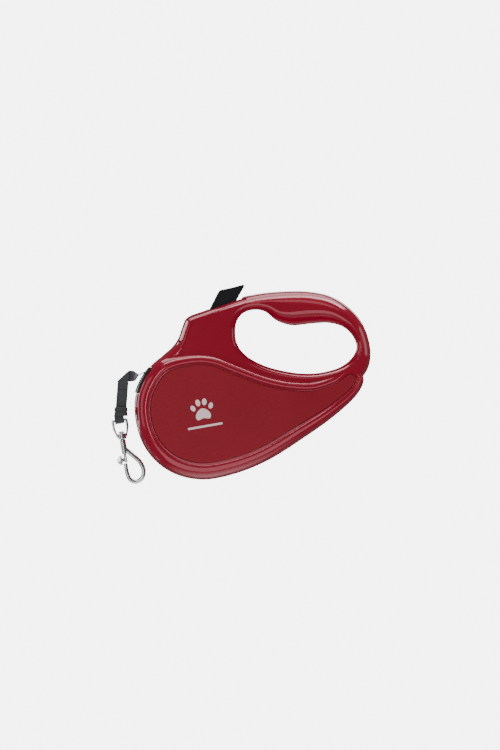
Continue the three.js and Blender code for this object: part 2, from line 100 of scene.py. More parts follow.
# Outline of the neck and handle: x, z and how far in the rounding of its edge reaches.
HANDLE_EDGE: tuple[Row, ...] = (
    (-33.2, 34.2, 4), (-28.4, 39.1, 5), (-20.6, 46, 5.5), (-16.6, 51.6, 5), (-13.4, 60.4, 4.6),
    (-11.2, 65.6, 4), (-8.2, 67.9, 4), (2, 71.6, 4), (14.5, 76.2, 4.4), (27.3, 80.9, 5.4),
    (41.3, 83.9, 7), (62.3, 85.5, 9.6), (76.3, 85.1, 10.4), (90.3, 82.2, 9), (101.6, 76, 7),
    (110.6, 67.2, 5.6), (116, 57.6, 5), (119.1, 46, 4.8), (119.3, 38, 4.8), (117.2, 30, 5),
    (109, 20, 4), (84, 4, 5), (50, -2, 6), (14, -6, 6), (-16, 4, 6), (-29.6, 22, 5),
)
# Edge of the finger opening: x, z and how far out its rim reaches.
OPENING_EDGE: tuple[Row, ...] = (
    (23.9, 56.5, 4), (25.2, 64.6, 4), (29.8, 70.2, 4), (37.8, 72.4, 4), (45, 71, 4.6),
    (53.2, 64.6, 7), (63.7, 61.3, 9.4), (77.7, 62.5, 9.2), (90, 63, 7.8), (100.6, 60, 4.8),
    (107.4, 53.2, 3.6), (109.7, 45.8, 3.4), (106.4, 38.4, 3.4), (98.6, 32.2, 3.4), (86, 28.3, 3.6),
    (72.8, 27.3, 3.8), (57.4, 29.3, 4), (42.7, 33.6, 4), (30.6, 40.8, 4), (25.2, 48.4, 4),
)
# Outlines of the room in the neck and in the grip, and places of the screws: x and z.
NECK_HOLLOW: Profile = (
    (-12, 37), (-9, 45), (-8.6, 57), (-5.8, 63), (16, 71), (18.6, 64), (18.4, 52), (21.5, 44),
    (25, 36), (18, 30), (0, 33),
)
GRIP_HOLLOW: Profile = (
    (44, 77.5), (50, 72), (56, 69.6), (66, 69.4), (78, 70.4), (90, 70.4), (100, 68), (105.5, 62.6),
    (103, 67.6), (97, 73.2), (88, 77), (76, 79), (60, 79.4),
)
SCREW_PLACES: Profile = ((-4.5, 56.5), (111.5, 33.5), (57, 8.5), (84, 12))


class Slot(str, Enum):
    """The record's material slots."""

    SHELL = "shell_red"
    PANEL = "panel_red"
    GLOSS = "gloss_black"
    MATTE = "matte_black"
    WEBBING = "webbing"
    CHROME = "chrome"
    STEEL = "steel"
    NYLON = "nylon"


# ---- finishes


class Term:
    """An output of a node tree that can be used in arithmetic."""

    def __init__(self, recipe: Recipe, socket: bpy.types.NodeSocket) -> None:
        """Args: recipe: the tree it is in. socket: the output."""
        self.recipe = recipe
        self.socket = socket

    def worked(self, operation: str, *values: Term | float) -> Term:
        """Returns: the result of a Math node on this and the values."""
        made = self.recipe.node("ShaderNodeMath", {"operation": operation})
        for socket, value in zip(made.inputs, (self, *values)):
            self.recipe.fill(socket, value)
        return Term(self.recipe, made.outputs[0])

    def __add__(self, other: Term | float) -> Term:
        """Returns: the sum."""
        return self.worked("ADD", other)

    def __mul__(self, other: Term | float) -> Term:
        """Returns: the product."""
        return self.worked("MULTIPLY", other)

    def ribs(self) -> Term:
        """Returns: the sine of the value, without its sign."""
        return self.worked("SINE").worked("ABSOLUTE")


class Recipe:
    """The node tree of a material or a world, with its shader."""

    def __init__(self, data: bpy.types.Material | bpy.types.World, shader: str) -> None:
        """Args: data: what the tree belongs to. shader: the name of its shader."""
        data.use_nodes = True
        self.data = data
        self.tree = data.node_tree
        self.shader = self.tree.nodes[shader]

    @classmethod
    def material(cls, name: str) -> Recipe:
        """Returns: the recipe of a new material."""
        return cls(bpy.data.materials.new(name), "Principled BSDF")

    def node(self, kind: str, settings: dict[str, object] | None = None,
             **sockets: object) -> bpy.types.Node:
        """Adds a node, gives it its settings, then fills its sockets.

        Args:
            kind: the node's type.
            settings: attributes set before the sockets are looked up.
            sockets: values or terms by socket name, with spaces as underscores.
        Returns: the node.
        """
        made = self.tree.nodes.new(kind)
        for key, value in (settings or {}).items():
            setattr(made, key, value)
        for key, value in sockets.items():
            self.fill(made.inputs[key.replace("_", " ")], value)
        return made

    def fill(self, socket: bpy.types.NodeSocket, value: object) -> None:
        """Links a term to a socket, or sets a plain value on it, with full alpha on a colour."""
        if isinstance(value, Term):
            self.tree.links.new(value.socket, socket)
        else:
            socket.default_value = (*value, 1.0) if socket.type == "RGBA" else value

    def place(self) -> tuple[Term, Term, Term, Term]:
        """Returns: the place on the object in metres as a vector, and its x, y and z."""
        where = Term(self, self.node("ShaderNodeTexCoord").outputs["Object"])
        parts = self.node("ShaderNodeSeparateXYZ", Vector=where).outputs
        return (where, *(Term(self, part) for part in parts))

    def noise(self, where: Term, scale: float, detail: float, roughness: float = 0.5) -> Term:
        """Returns: a noise value about 0.5 with features of 1 / scale metres."""
        made = self.node("ShaderNodeTexNoise", Vector=where, Scale=scale, Detail=detail,
                         Roughness=roughness)
        return Term(self, made.outputs[0])

    def between(self, factor: Term, low: Sequence[float] | Term,
                high: Sequence[float] | Term) -> Term:
        """Returns: the colour that factor picks between low and high."""
        made = self.node("ShaderNodeMix", {"data_type": "RGBA"})
        for i, value in ((0, factor), (6, low), (7, high)):
            self.fill(made.inputs[i], value)
        return Term(self, made.outputs[2])

    def shaded(self, factor: Term, colour: Sequence[float], low: float, high: float) -> Term:
        """Returns: the colour, from low to high times as bright."""
        return self.between(factor, [c * low for c in colour], [c * high for c in colour])

    def set(self, **sockets: object) -> None:
        """Sets sockets of the shader, with spaces as underscores."""
        for key, value in sockets.items():
            self.fill(self.shader.inputs[key.replace("_", " ")], value)

    def bump(self, height: Term, depth: float = 1.0) -> None:
        """Sends a height to the shader's normal; a height of 1 stands for depth metres."""
        made = self.node("ShaderNodeBump", Strength=1.0, Distance=depth, Height=height)
        self.set(Normal=Term(self, made.outputs[0]))


@dataclass(frozen=True)
class Plastic:
    """A moulded plastic.

    Args:
        name: the material's name.
        colour: its linear colour.
        roughness: of the moulded surface.
        coat: weight of the clear gloss over it.
        grain: depth of the moulded texture in metres.
        grain_scale: how many grains lie in a metre.
        wave: depth of the broad unevenness of a large moulding, in metres.
        ior: index of refraction.
        tint: colour of what the surface under the coat reflects.
    """

    name: str
    colour: Row
    roughness: float
    coat: float = 0.0
    grain: float = 0.0
    grain_scale: float = 1800.0
    wave: float = 0.0
    ior: float = 1.5
    tint: Row = (1.0, 1.0, 1.0)

    def made(self) -> bpy.types.Material:
        """Returns: the material."""
        recipe = Recipe.material(self.name)
        where = recipe.place()[0]
        cloud = recipe.noise(where, 28.0, 3.0)
        fine = recipe.noise(where, self.grain_scale, 2.0, 0.6)
        broad = recipe.noise(where, 60.0, 1.0)
        recipe.set(Base_Color=recipe.shaded(cloud, self.colour, 0.9, 1.1), IOR=self.ior,
                   Specular_Tint=self.tint, Roughness=cloud * 0.06 + (self.roughness - 0.03),
                   Coat_Weight=self.coat, Coat_Roughness=0.03)
        recipe.bump(fine * self.grain + broad * self.wave)
        return recipe.data


@dataclass(frozen=True)
class Metal:
    """A bare or plated metal.

    Args:
        name: the material's name.
        colour: its linear colour.
        roughness: of the surface.
        cast: depth of the unevenness of a casting, in metres.
        drawn: depth of fine scratches, in metres.
    """

    name: str
    colour: Row
    roughness: float
    cast: float = 0.0
    drawn: float = 0.0

    def made(self) -> bpy.types.Material:
        """Returns: the material."""
        recipe = Recipe.material(self.name)
        where = recipe.place()[0]
        cloud = recipe.noise(where, 220.0, 3.0)
        scratch = recipe.noise(where, 2600.0, 1.0)
        recipe.set(Base_Color=recipe.shaded(cloud, self.colour, 0.8, 1.0), Metallic=1.0,
                   Roughness=cloud * 0.16 + (self.roughness - 0.06))
        recipe.bump(cloud * self.cast + scratch * self.drawn)
        return recipe.data


@dataclass(frozen=True)
class Weave:
    """Nylon tape woven in slanting ribs.

    Args:
        name: the material's name.
        along_z: whether the tape runs along z rather than x.
        colour: its linear colour.
        pitch: distance between ribs in metres.
        depth: height of the ribs in metres.
    """

    name: str
    along_z: bool
    colour: Row = (0.016, 0.017, 0.021)
    pitch: float = 0.0011
    depth: float = 0.00022

    def made(self) -> bpy.types.Material:
        """Returns: the material."""
        recipe = Recipe.material(self.name)
        where, x, y, z = recipe.place()
        along, across = (z, x + y) if self.along_z else (x, y + z)
        turn = 2 * math.pi / self.pitch
        warp = (across * turn).ribs()
        herring = ((along + across.worked("ABSOLUTE") * 0.7) * turn).ribs()
        height = warp * 0.5 + herring * 0.35 + recipe.noise(where, 3000.0, 2.0) * 0.3
        # The ribs are the weave's own pattern, but the colour follows their height: this paints
        # shade in the valleys between ribs and a painted highlight on their crests.
        recipe.set(Base_Color=recipe.shaded(height, self.colour, 0.35, 1.7), Roughness=0.82,
                   Sheen_Weight=0.35)
        recipe.bump(height, self.depth)
        return recipe.data


class Palette:
    """The materials of the leash, each made once."""

    RED_TINT: Row = (1.0, 0.4, 0.46)

    def __init__(self) -> None:
        """Makes the materials by slot, and the two that no slot stands for."""
        self.slots = {slot: finish.made() for slot, finish in {
            Slot.SHELL: Plastic("shell_gloss_red", (0.17, 0.003, 0.013), 0.13, coat=0.3,
                                wave=0.00006, ior=1.8, tint=self.RED_TINT),
            Slot.PANEL: Plastic("panel_satin_red", (0.155, 0.0018, 0.008), 0.46, grain=0.00006,
                                grain_scale=1500.0, tint=self.RED_TINT),
            Slot.GLOSS: Plastic("gloss_black_plastic", (0.008, 0.008, 0.009), 0.14, coat=0.6,
                                wave=0.00004),
            Slot.MATTE: Plastic("matt_black_plastic", (0.02, 0.02, 0.021), 0.6, grain=0.00004),
            Slot.WEBBING: Weave("woven_tape", False),
            Slot.CHROME: Metal("nickel_plate", (0.78, 0.79, 0.81), 0.16, cast=0.00005),
            Slot.STEEL: Metal("plain_steel", (0.5, 0.51, 0.53), 0.34, drawn=0.00001),
            Slot.NYLON: Plastic("natural_nylon", (0.62, 0.6, 0.54), 0.45, grain=0.00002),
        }.items()}
        self.silver = Plastic("silver_print", (0.56, 0.4, 0.42), 0.36, grain=0.00001).made()
        self.strap = Weave("woven_strap", True).made()


# ---- curves


@dataclass(frozen=True)
class EdgePoint:
    """A point of a smooth edge: place, width, outward normal and share of the full depth."""

    x: float
    z: float
    width: float
    nx: float
    nz: float
    deep: float

    def at(self, depth: float, out: float) -> Vector:
        """Returns: the point at that depth, moved out along the normal."""
        return Vector((self.x + self.nx * out, depth * self.deep, self.z + self.nz * out))


def spline(points: Sequence[Vector], closed: bool, steps: int) -> list[Vector]:
    """Centripetal Catmull-Rom curve through points.

    Args:
        points: what the curve passes through.
        closed: whether it returns to its first point.
        steps: points made for each stretch.
    Returns: the points along it.
    """
    count = len(points)
    if closed:
        ring = [points[i % count] for i in range(-1, count + 2)]
    else:
        ring = [points[0] * 2 - points[1], *points, points[-1] * 2 - points[-2]]
    made: list[Vector] = []
    for a, b, c, d in zip(ring, ring[1:], ring[2:], ring[3:]):
        gaps = [max((q - p).length, 1e-6) ** 0.5 for p, q in ((a, b), (b, c), (c, d))]
        start = ((b - a) / gaps[0] - (c - a) / (gaps[0] + gaps[1]) + (c - b) / gaps[1]) * gaps[1]
        end = ((c - b) / gaps[1] - (d - b) / (gaps[1] + gaps[2]) + (d - c) / gaps[2]) * gaps[1]
        for k in range(steps):
            t = k / steps
            made.append(b + start * t + (b * -3 + c * 3 - start * 2 - end) * t ** 2
                        + (b * 2 - c * 2 + start + end) * t ** 3)
    if not closed:
        made.append(points[-1].copy())
    return made


def eased(share: float) -> float:
    """Returns: the share held between 0 and 1, starting and ending slowly."""
    t = min(max(share, 0.0), 1.0)
    return t * t * (3 - 2 * t)


def arc(cx: float, cz: float, r: float, start: float, stop: float,
        steps: int) -> list[tuple[float, float]]:
    """Returns: points of an arc, with angles in degrees from x towards z."""
    turns = (math.radians(start + (stop - start) * k / steps) for k in range(steps + 1))
    return [(cx + r * math.cos(a), cz + r * math.sin(a)) for a in turns]


def oval(width: float, thick: float, count: int = 8,
         power: float = 2.0) -> list[tuple[float, float]]:
    """Returns: an oval section; a power above 2 squares its corners."""
    made = []
    for k in range(count):
        c, s = math.cos(2 * math.pi * k / count), math.sin(2 * math.pi * k / count)
        made.append((math.copysign(abs(c) ** (2 / power), c) * width / 2,
                     math.copysign(abs(s) ** (2 / power), s) * thick / 2))
    return made


def mirrored(half: Profile) -> list[tuple[float, float]]:
    """Returns: the profile, after its own reflection on the negative side."""
    return [*((r, -h) for r, h in reversed(half)), *half]


def leaning(x: float, z: float, degrees: float) -> Matrix:
    """Returns: a frame at x, z, turned about y."""
    return Matrix.Translation((x, 0, z)) @ Matrix.Rotation(math.radians(degrees), 4, "Y")


BRAKE_FRAME = leaning(15.95, 76.7, 27.07)
SNAP_FRAME = leaning(-55.6, -19.3, -9)


class Edge:
    """A closed smooth edge in the side view."""

    def __init__(self, rows: Sequence[Row], steps: int,
                 depth_at: Callable[[float], float] = lambda _: 1.0) -> None:
        """Args: rows: x, z and width. steps: points a row. depth_at: share of the depth at x."""
        places = spline([Vector(row) for row in rows], True, steps)
        area = sum(a.x * b.y - b.x * a.y for a, b in zip(places, places[1:] + places[:1]))
        turn = 1 if area > 0 else -1
        self.points: list[EdgePoint] = []
        for i, p in enumerate(places):
            along = (places[(i + 1) % len(places)] - places[i - 1]).xy.normalized()
            self.points.append(EdgePoint(p.x, p.y, p.z, along.y * turn, -along.x * turn,
                                         depth_at(p.x)))

    def ring(self, depth: Reach | float, out: Reach | float) -> list[Vector]:
        """Returns: the edge at a depth, moved out."""
        deep = depth if callable(depth) else (lambda _: depth)
        wide = out if callable(out) else (lambda _: out)
        return [p.at(deep(p), wide(p)) for p in self.points]


# ---- solids


class Solid:
    """A closed surface in millimetres, under construction in a bmesh."""

    def __init__(self, bm: bmesh.types.BMesh | None = None) -> None:
        """Args: bm: the mesh it starts from, if any."""
        self.bm = bm or bmesh.new()

    @classmethod
    def box(cls, low: Sequence[float], high: Sequence[float]) -> Solid:
        """Returns: a box between two corners."""
        made = cls()
        size, middle = Vector(high) - Vector(low), (Vector(high) + Vector(low)) / 2
        bmesh.ops.create_cube(made.bm, size=1,
                              matrix=Matrix.Translation(middle) @ Matrix.Diagonal((*size, 1)))
        return made

    @classmethod
    def block(cls, wide: float, deep: float, low: float, high: float) -> Solid:
        """Returns: a box centred on the z axis, by half its sizes in x and y and its ends in z."""
        return cls.box((-wide, -deep, low), (wide, deep, high))

    @classmethod
    def disc(cls, x: float, z: float, radius: float, y0: float, y1: float,
             sides: int = 48) -> Solid:
        """Returns: a cylinder along y."""
        made = cls()
        turn = Matrix.Translation((x, (y0 + y1) / 2, z)) @ Matrix.Rotation(math.pi / 2, 4, "X")
        bmesh.ops.create_cone(made.bm, cap_ends=True, segments=sides, radius1=radius,
                              radius2=radius, depth=y1 - y0, matrix=turn)
        return made

    @classmethod
    def turned(cls, profile: Profile, axis: Vector = Y_AXIS, sides: int = 48) -> Solid:
        """Spins a closed profile round an axis through the origin.

        Args:
            profile: distance from the axis and place along it.
            axis: Y_AXIS or Z_AXIS.
            sides: steps of the turn.
        Returns: the turned solid.
        """
        made = cls()
        verts = [made.bm.verts.new(X_AXIS * r + axis * h) for r, h in profile]
        edges = [made.bm.edges.new(pair) for pair in zip(verts, verts[1:] + verts[:1])]
        bmesh.ops.spin(made.bm, geom=[*verts, *edges], cent=(0, 0, 0), axis=axis,
                       angle=2 * math.pi, steps=sides, use_merge=True)
        return made.cleaned()

    @classmethod
    def post(cls, r: float, z0: float, z1: float) -> Solid:
        """Returns: a cylinder along z."""
        return cls.turned([(0, z0), (r, z0), (r, z1), (0, z1)], Z_AXIS, 32)

    @classmethod
    def prism(cls, outline: Sequence[Sequence[float]], y0: float, y1: float) -> Solid:
        """Returns: an outline in x and z with thickness from y0 to y1."""
        made = cls()
        face = made.bm.faces.new([made.bm.verts.new((x, y0, z)) for x, z in outline])
        grown = bmesh.ops.extrude_face_region(made.bm, geom=[face])["geom"]
        bmesh.ops.translate(made.bm, verts=[v for v in grown if isinstance(v, bmesh.types.BMVert)],
                            vec=(0, y1 - y0, 0))
        return made.cleaned()

    @classmethod
    def lofted(cls, rings: Sequence[Sequence[Vector]],
               holes: Sequence[Sequence[Vector]] = ()) -> Solid:
        """Skins a stack of rings, with an optional through hole skinned from another stack.

        Args:
            rings: outer rings, from one flat end to the other.
            holes: rings of the hole, in the same order.
        Returns: the closed solid.
        """
        made = cls()
        ends = [made._skin(stack) for stack in (rings, holes) if stack]
        for end in (0, 1):
            bmesh.ops.triangle_fill(made.bm, edges=[e for loops in ends for e in loops[end]],
                                    use_beauty=True, normal=(0, 1, 0))
        return made.cleaned()

    def _skin(self, rings: Sequence[Sequence[Vector]]) -> tuple[list, list]:
        """Skins a stack of rings. Returns: the edges of the first and of the last."""
        ring = [self.bm.verts.new(p) for p in rings[0]]
        first = [self.bm.edges.new(pair) for pair in zip(ring, ring[1:] + ring[:1])]
        loop = first
        for target in rings[1:]:
            order = {v: i for i, v in enumerate(ring)}
            made = bmesh.ops.extrude_edge_only(self.bm, edges=loop)["geom"]
            grown: dict[int, bmesh.types.BMVert] = {}
            for v in (g for g in made if isinstance(g, bmesh.types.BMVert)):
                source = next(e.other_vert(v) for e in v.link_edges if e.other_vert(v) in order)
                grown[order[source]] = v
            ring = [grown[i] for i in range(len(ring))]
            members = set(ring)
            loop = [g for g in made
                    if isinstance(g, bmesh.types.BMEdge) and set(g.verts) <= members]
            for v, p in zip(ring, target):
                v.co = p
        return first, loop

    @classmethod
    def swept(cls, path: Sequence[Vector], section: Callable[[float], Profile] | Profile,
              across: Vector | None = None) -> Solid:
        """Carries a section along a path.

        Args:
            path: the points of the centreline.
            section: the outline as across and through, or what gives it at a share of the way.
            across: the direction of the outline's first number; a steady frame if left out.
        Returns: the swept solid.
        """
        last = len(path) - 1
        side = X_AXIS
        rings: list[list[Vector]] = []
        for i, p in enumerate(path):
            along = (path[min(i + 1, last)] - path[max(i - 1, 0)]).normalized()
            if across is not None:
                side = across
            elif i == 0:
                side = X_AXIS if abs(along.x) < 0.9 else Y_AXIS
            side = (side - along * side.dot(along)).normalized()
            through = along.cross(side)
            outline = section(i / last) if callable(section) else section
            rings.append([p + side * a + through * b for a, b in outline])
        made = cls()
        for end in made._skin(rings):
            bmesh.ops.triangle_fill(made.bm, edges=end, use_beauty=True)
        return made.cleaned()

    def cleaned(self) -> Solid:
        """Merges doubles and turns the faces out. Returns: the solid."""
        bmesh.ops.remove_doubles(self.bm, verts=self.bm.verts, dist=1e-4)
        bmesh.ops.recalc_face_normals(self.bm, faces=self.bm.faces)
        return self

    def moved(self, matrix: Matrix) -> Solid:
        """Moves it by a matrix. Returns: the solid."""
        bmesh.ops.transform(self.bm, matrix=matrix, verts=self.bm.verts)
        return self

    def bevelled(self, width: float, segments: int = 3, angle: float = 35.0,
                 only: Callable[[bmesh.types.BMEdge], bool] = lambda _: True) -> Solid:
        """Rounds its sharp edges.

        Args:
            width: how far in the rounding reaches.
            segments: steps of the rounding.
            angle: the least angle in degrees of an edge that is rounded.
            only: picks among those edges.
        Returns: the solid.
        """
        edges = [e for e in self.bm.edges if len(e.link_faces) == 2
                 and e.calc_face_angle(0) > math.radians(angle) and only(e)]
        bmesh.ops.bevel(self.bm, geom=edges, offset=width, segments=segments, affect="EDGES",
                        profile=0.5, clamp_overlap=True, material=-1)
        return self

    def sliced(self, axis: Vector, start: float, stop: float, step: float,
               faces: Callable[[Face], bool]) -> Solid:
        """Cuts chosen faces by evenly spaced planes, to give them points to move.

        Args:
            axis: the planes' normal.
            start, stop: the first plane and the last.
            step: their spacing.
            faces: picks the faces.
        Returns: the solid.
        """
        for k in range(int((stop - start) / step) + 1):
            chosen = [f for f in self.bm.faces if faces(f)]
            edges = {e for f in chosen for e in f.edges}
            verts = {v for f in chosen for v in f.verts}
            bmesh.ops.bisect_plane(self.bm, geom=[*verts, *edges, *chosen], dist=1e-4,
                                   plane_co=axis * (start + k * step), plane_no=axis)
        return self

    def crowned(self, side: int, level: Callable[[float], float], height: float,
                reach: float) -> Solid:
        """Lifts a flat face into a shallow crown that starts level at its edge.

        Args:
            side: FRONT or REAR.
            level: the depth of the face at x.
            height: how far the middle rises.
            reach: the distance from the edge over which it rises.
        Returns: the solid.
        """
        def flat(face: Face) -> bool:
            """Returns: whether a face is part of the flat."""
            centre = face.calc_center_median()
            return face.normal.y * side > 0.985 and abs(centre.y - side * level(centre.x)) < 0.6

        self.bm.normal_update()
        self.sliced(X_AXIS, -60, 124, 2.5, flat).sliced(Z_AXIS, -50, 90, 2.5, flat)
        chosen = {f for f in self.bm.faces if flat(f)}
        border = {v for e in self.bm.edges if len(set(e.link_faces) & chosen) == 1
                  for v in e.verts}
        tree = KDTree(len(border))
        for i, v in enumerate(border):
            tree.insert(v.co, i)
        tree.balance()
        for v in {v for f in chosen for v in f.verts} - border:
            away = tree.find(v.co)[2]
            v.co.y = side * (level(v.co.x) + height * (1 - math.exp(-(away / reach) ** 2)))
        return self

    def _object(self, name: str) -> Object:
        """Returns: a new object of the scene with this shape."""
        mesh = bpy.data.meshes.new(name)
        self.bm.to_mesh(mesh)
        made = bpy.data.objects.new(name, mesh)
        bpy.context.scene.collection.objects.link(made)
        return made

    def _modified(self, kind: str, settings: Sequence[dict[str, object]],
                  tools: Sequence[Object] = ()) -> Solid:
        """Applies modifiers of one kind, then removes the tools. Returns: the result."""
        body = self._object("work")
        for values in settings:
            modifier = body.modifiers.new("change", kind)
            for key, value in values.items():
                setattr(modifier, key, value)
        graph = bpy.context.evaluated_depsgraph_get()
        mesh = bpy.data.meshes.new_from_object(body.evaluated_get(graph))
        made = Solid()
        made.bm.from_mesh(mesh)
        for used in (mesh, body.data, *(tool.data for tool in tools)):
            bpy.data.meshes.remove(used)
        self.bm.free()
        return made

    def combined(self, operation: str, tools: Sequence[Solid]) -> Solid:
        """Joins, cuts or intersects with other solids.

        Args:
            operation: UNION, DIFFERENCE or INTERSECT.
            tools: the other solids, used up here.
        Returns: the result.
        """
        others = [tool._object("tool") for tool in tools]
        made = self._modified("BOOLEAN", [
            {"operation": operation, "solver": "MANIFOLD", "object": other} for other in others],
            others)
        for tool in tools:
            tool.bm.free()
        return made

    def joined(self, *tools: Solid) -> Solid:
        """Returns: the union with the tools."""
        return self.combined("UNION", tools)

    def cut(self, *tools: Solid) -> Solid:
        """Returns: what is left outside the tools."""
        return self.combined("DIFFERENCE", tools)

    def within(self, tool: Solid) -> Solid:
        """Returns: what lies inside the tool too."""
        return self.combined("INTERSECT", [tool])

    def cast(self, size: float, rounds: int) -> Solid:
        """Remeshes it in even small faces and relaxes them, as a casting's blended corners.

        Args:
            size: length of a face.
            rounds: how often it is relaxed.
        Returns: the solid.
        """
        made = self._modified("REMESH", [{"mode": "VOXEL", "voxel_size": size}])
        for _ in range(rounds):
            bmesh.ops.smooth_vert(made.bm, verts=made.bm.verts, factor=0.5, use_axis_x=True,
                                  use_axis_y=True, use_axis_z=True)
        return made

    def copy(self) -> Solid:
        """Returns: a second solid of the same shape."""
        return Solid(self.bm.copy())


@dataclass(frozen=True)
class Bench:
    """Args:
        palette: the materials.
        axis: the reel's axis in the row frame, in metres.
    """

    palette: Palette
    axis: Vector

    def make(self, name: str, solid: Solid, slot: Slot | None,
             material: bpy.types.Material | None = None, sharp: float = 34.0,
             weighted: bool = False) -> Object:
        """Makes an object of a solid.

        Args:
            name: the piece's name.
            solid: its shape, used up here.
            slot: the record's slot that it takes its finish from, if any.
            material: its material, if not the slot's own.
            sharp: the angle in degrees from which an edge is shaded sharp.
            weighted: whether large faces rule the shading.
        Returns: the object, riding on nothing yet.
        """
        solid.cleaned()
        bmesh.ops.dissolve_degenerate(solid.bm, edges=solid.bm.edges, dist=1e-4)
        solid.moved(Matrix.Translation(self.axis) @ Matrix.Scale(MM, 4))
        for face in solid.bm.faces:
            face.smooth = True
        for edge in solid.bm.edges:
            edge.smooth = (len(edge.link_faces) == 2
                           and edge.calc_face_angle(0) < math.radians(sharp))
        made = solid._object(name)
        solid.bm.free()
        made.data.materials.append(material or self.palette.slots[slot])
        if weighted:
            modifier = made.modifiers.new("even_shading", "WEIGHTED_NORMAL")
            modifier.keep_sharp = True
            modifier.weight = 100
        return made

    def fixed(self, name: str, solid: Solid, slot: Slot | None, body: str, node: str = "",
              **looks: object) -> None:
        """Makes an object that rides on a body.

        Args:
            name, solid, slot, looks: as make takes them.
            body: what it rides on.
            node: the CAD node that it replaces, if any.
        """
        made = self.make(name, solid, slot, **looks)
        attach(made, body)
        if node:
            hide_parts(node)
        log.info("%s on %s, %d faces", name, body, len(made.data.polygons))

    def stretched(self, name: str, solid: Solid, slot: Slot, node: str, bodies: tuple[str, str],
                  ends: Sequence[Sequence[float]], **looks: object) -> None:
        """Makes an object in place of a CAD node, left fixed in the row frame; it rides on no body
        and does not stretch.

        Args:
            name, solid, slot, looks: as make takes them.
            node: the CAD node that it replaces.
            bodies: the two bodies named in the log.
            ends: not used.
        """
        made = self.make(name, solid, slot, **looks)
        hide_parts(node)
        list(bodies)
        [self.axis + Vector(end) * MM for end in ends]
        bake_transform(made)
        log.info("%s from %s to %s, %d faces", name, *bodies, len(made.data.polygons))


@dataclass(frozen=True)
class Assembly:
    """A group of pieces that belong together; its sizes are in millimetres.

    Args:
        bench: what makes the pieces.
    """

    bench: Bench


# ---- housing


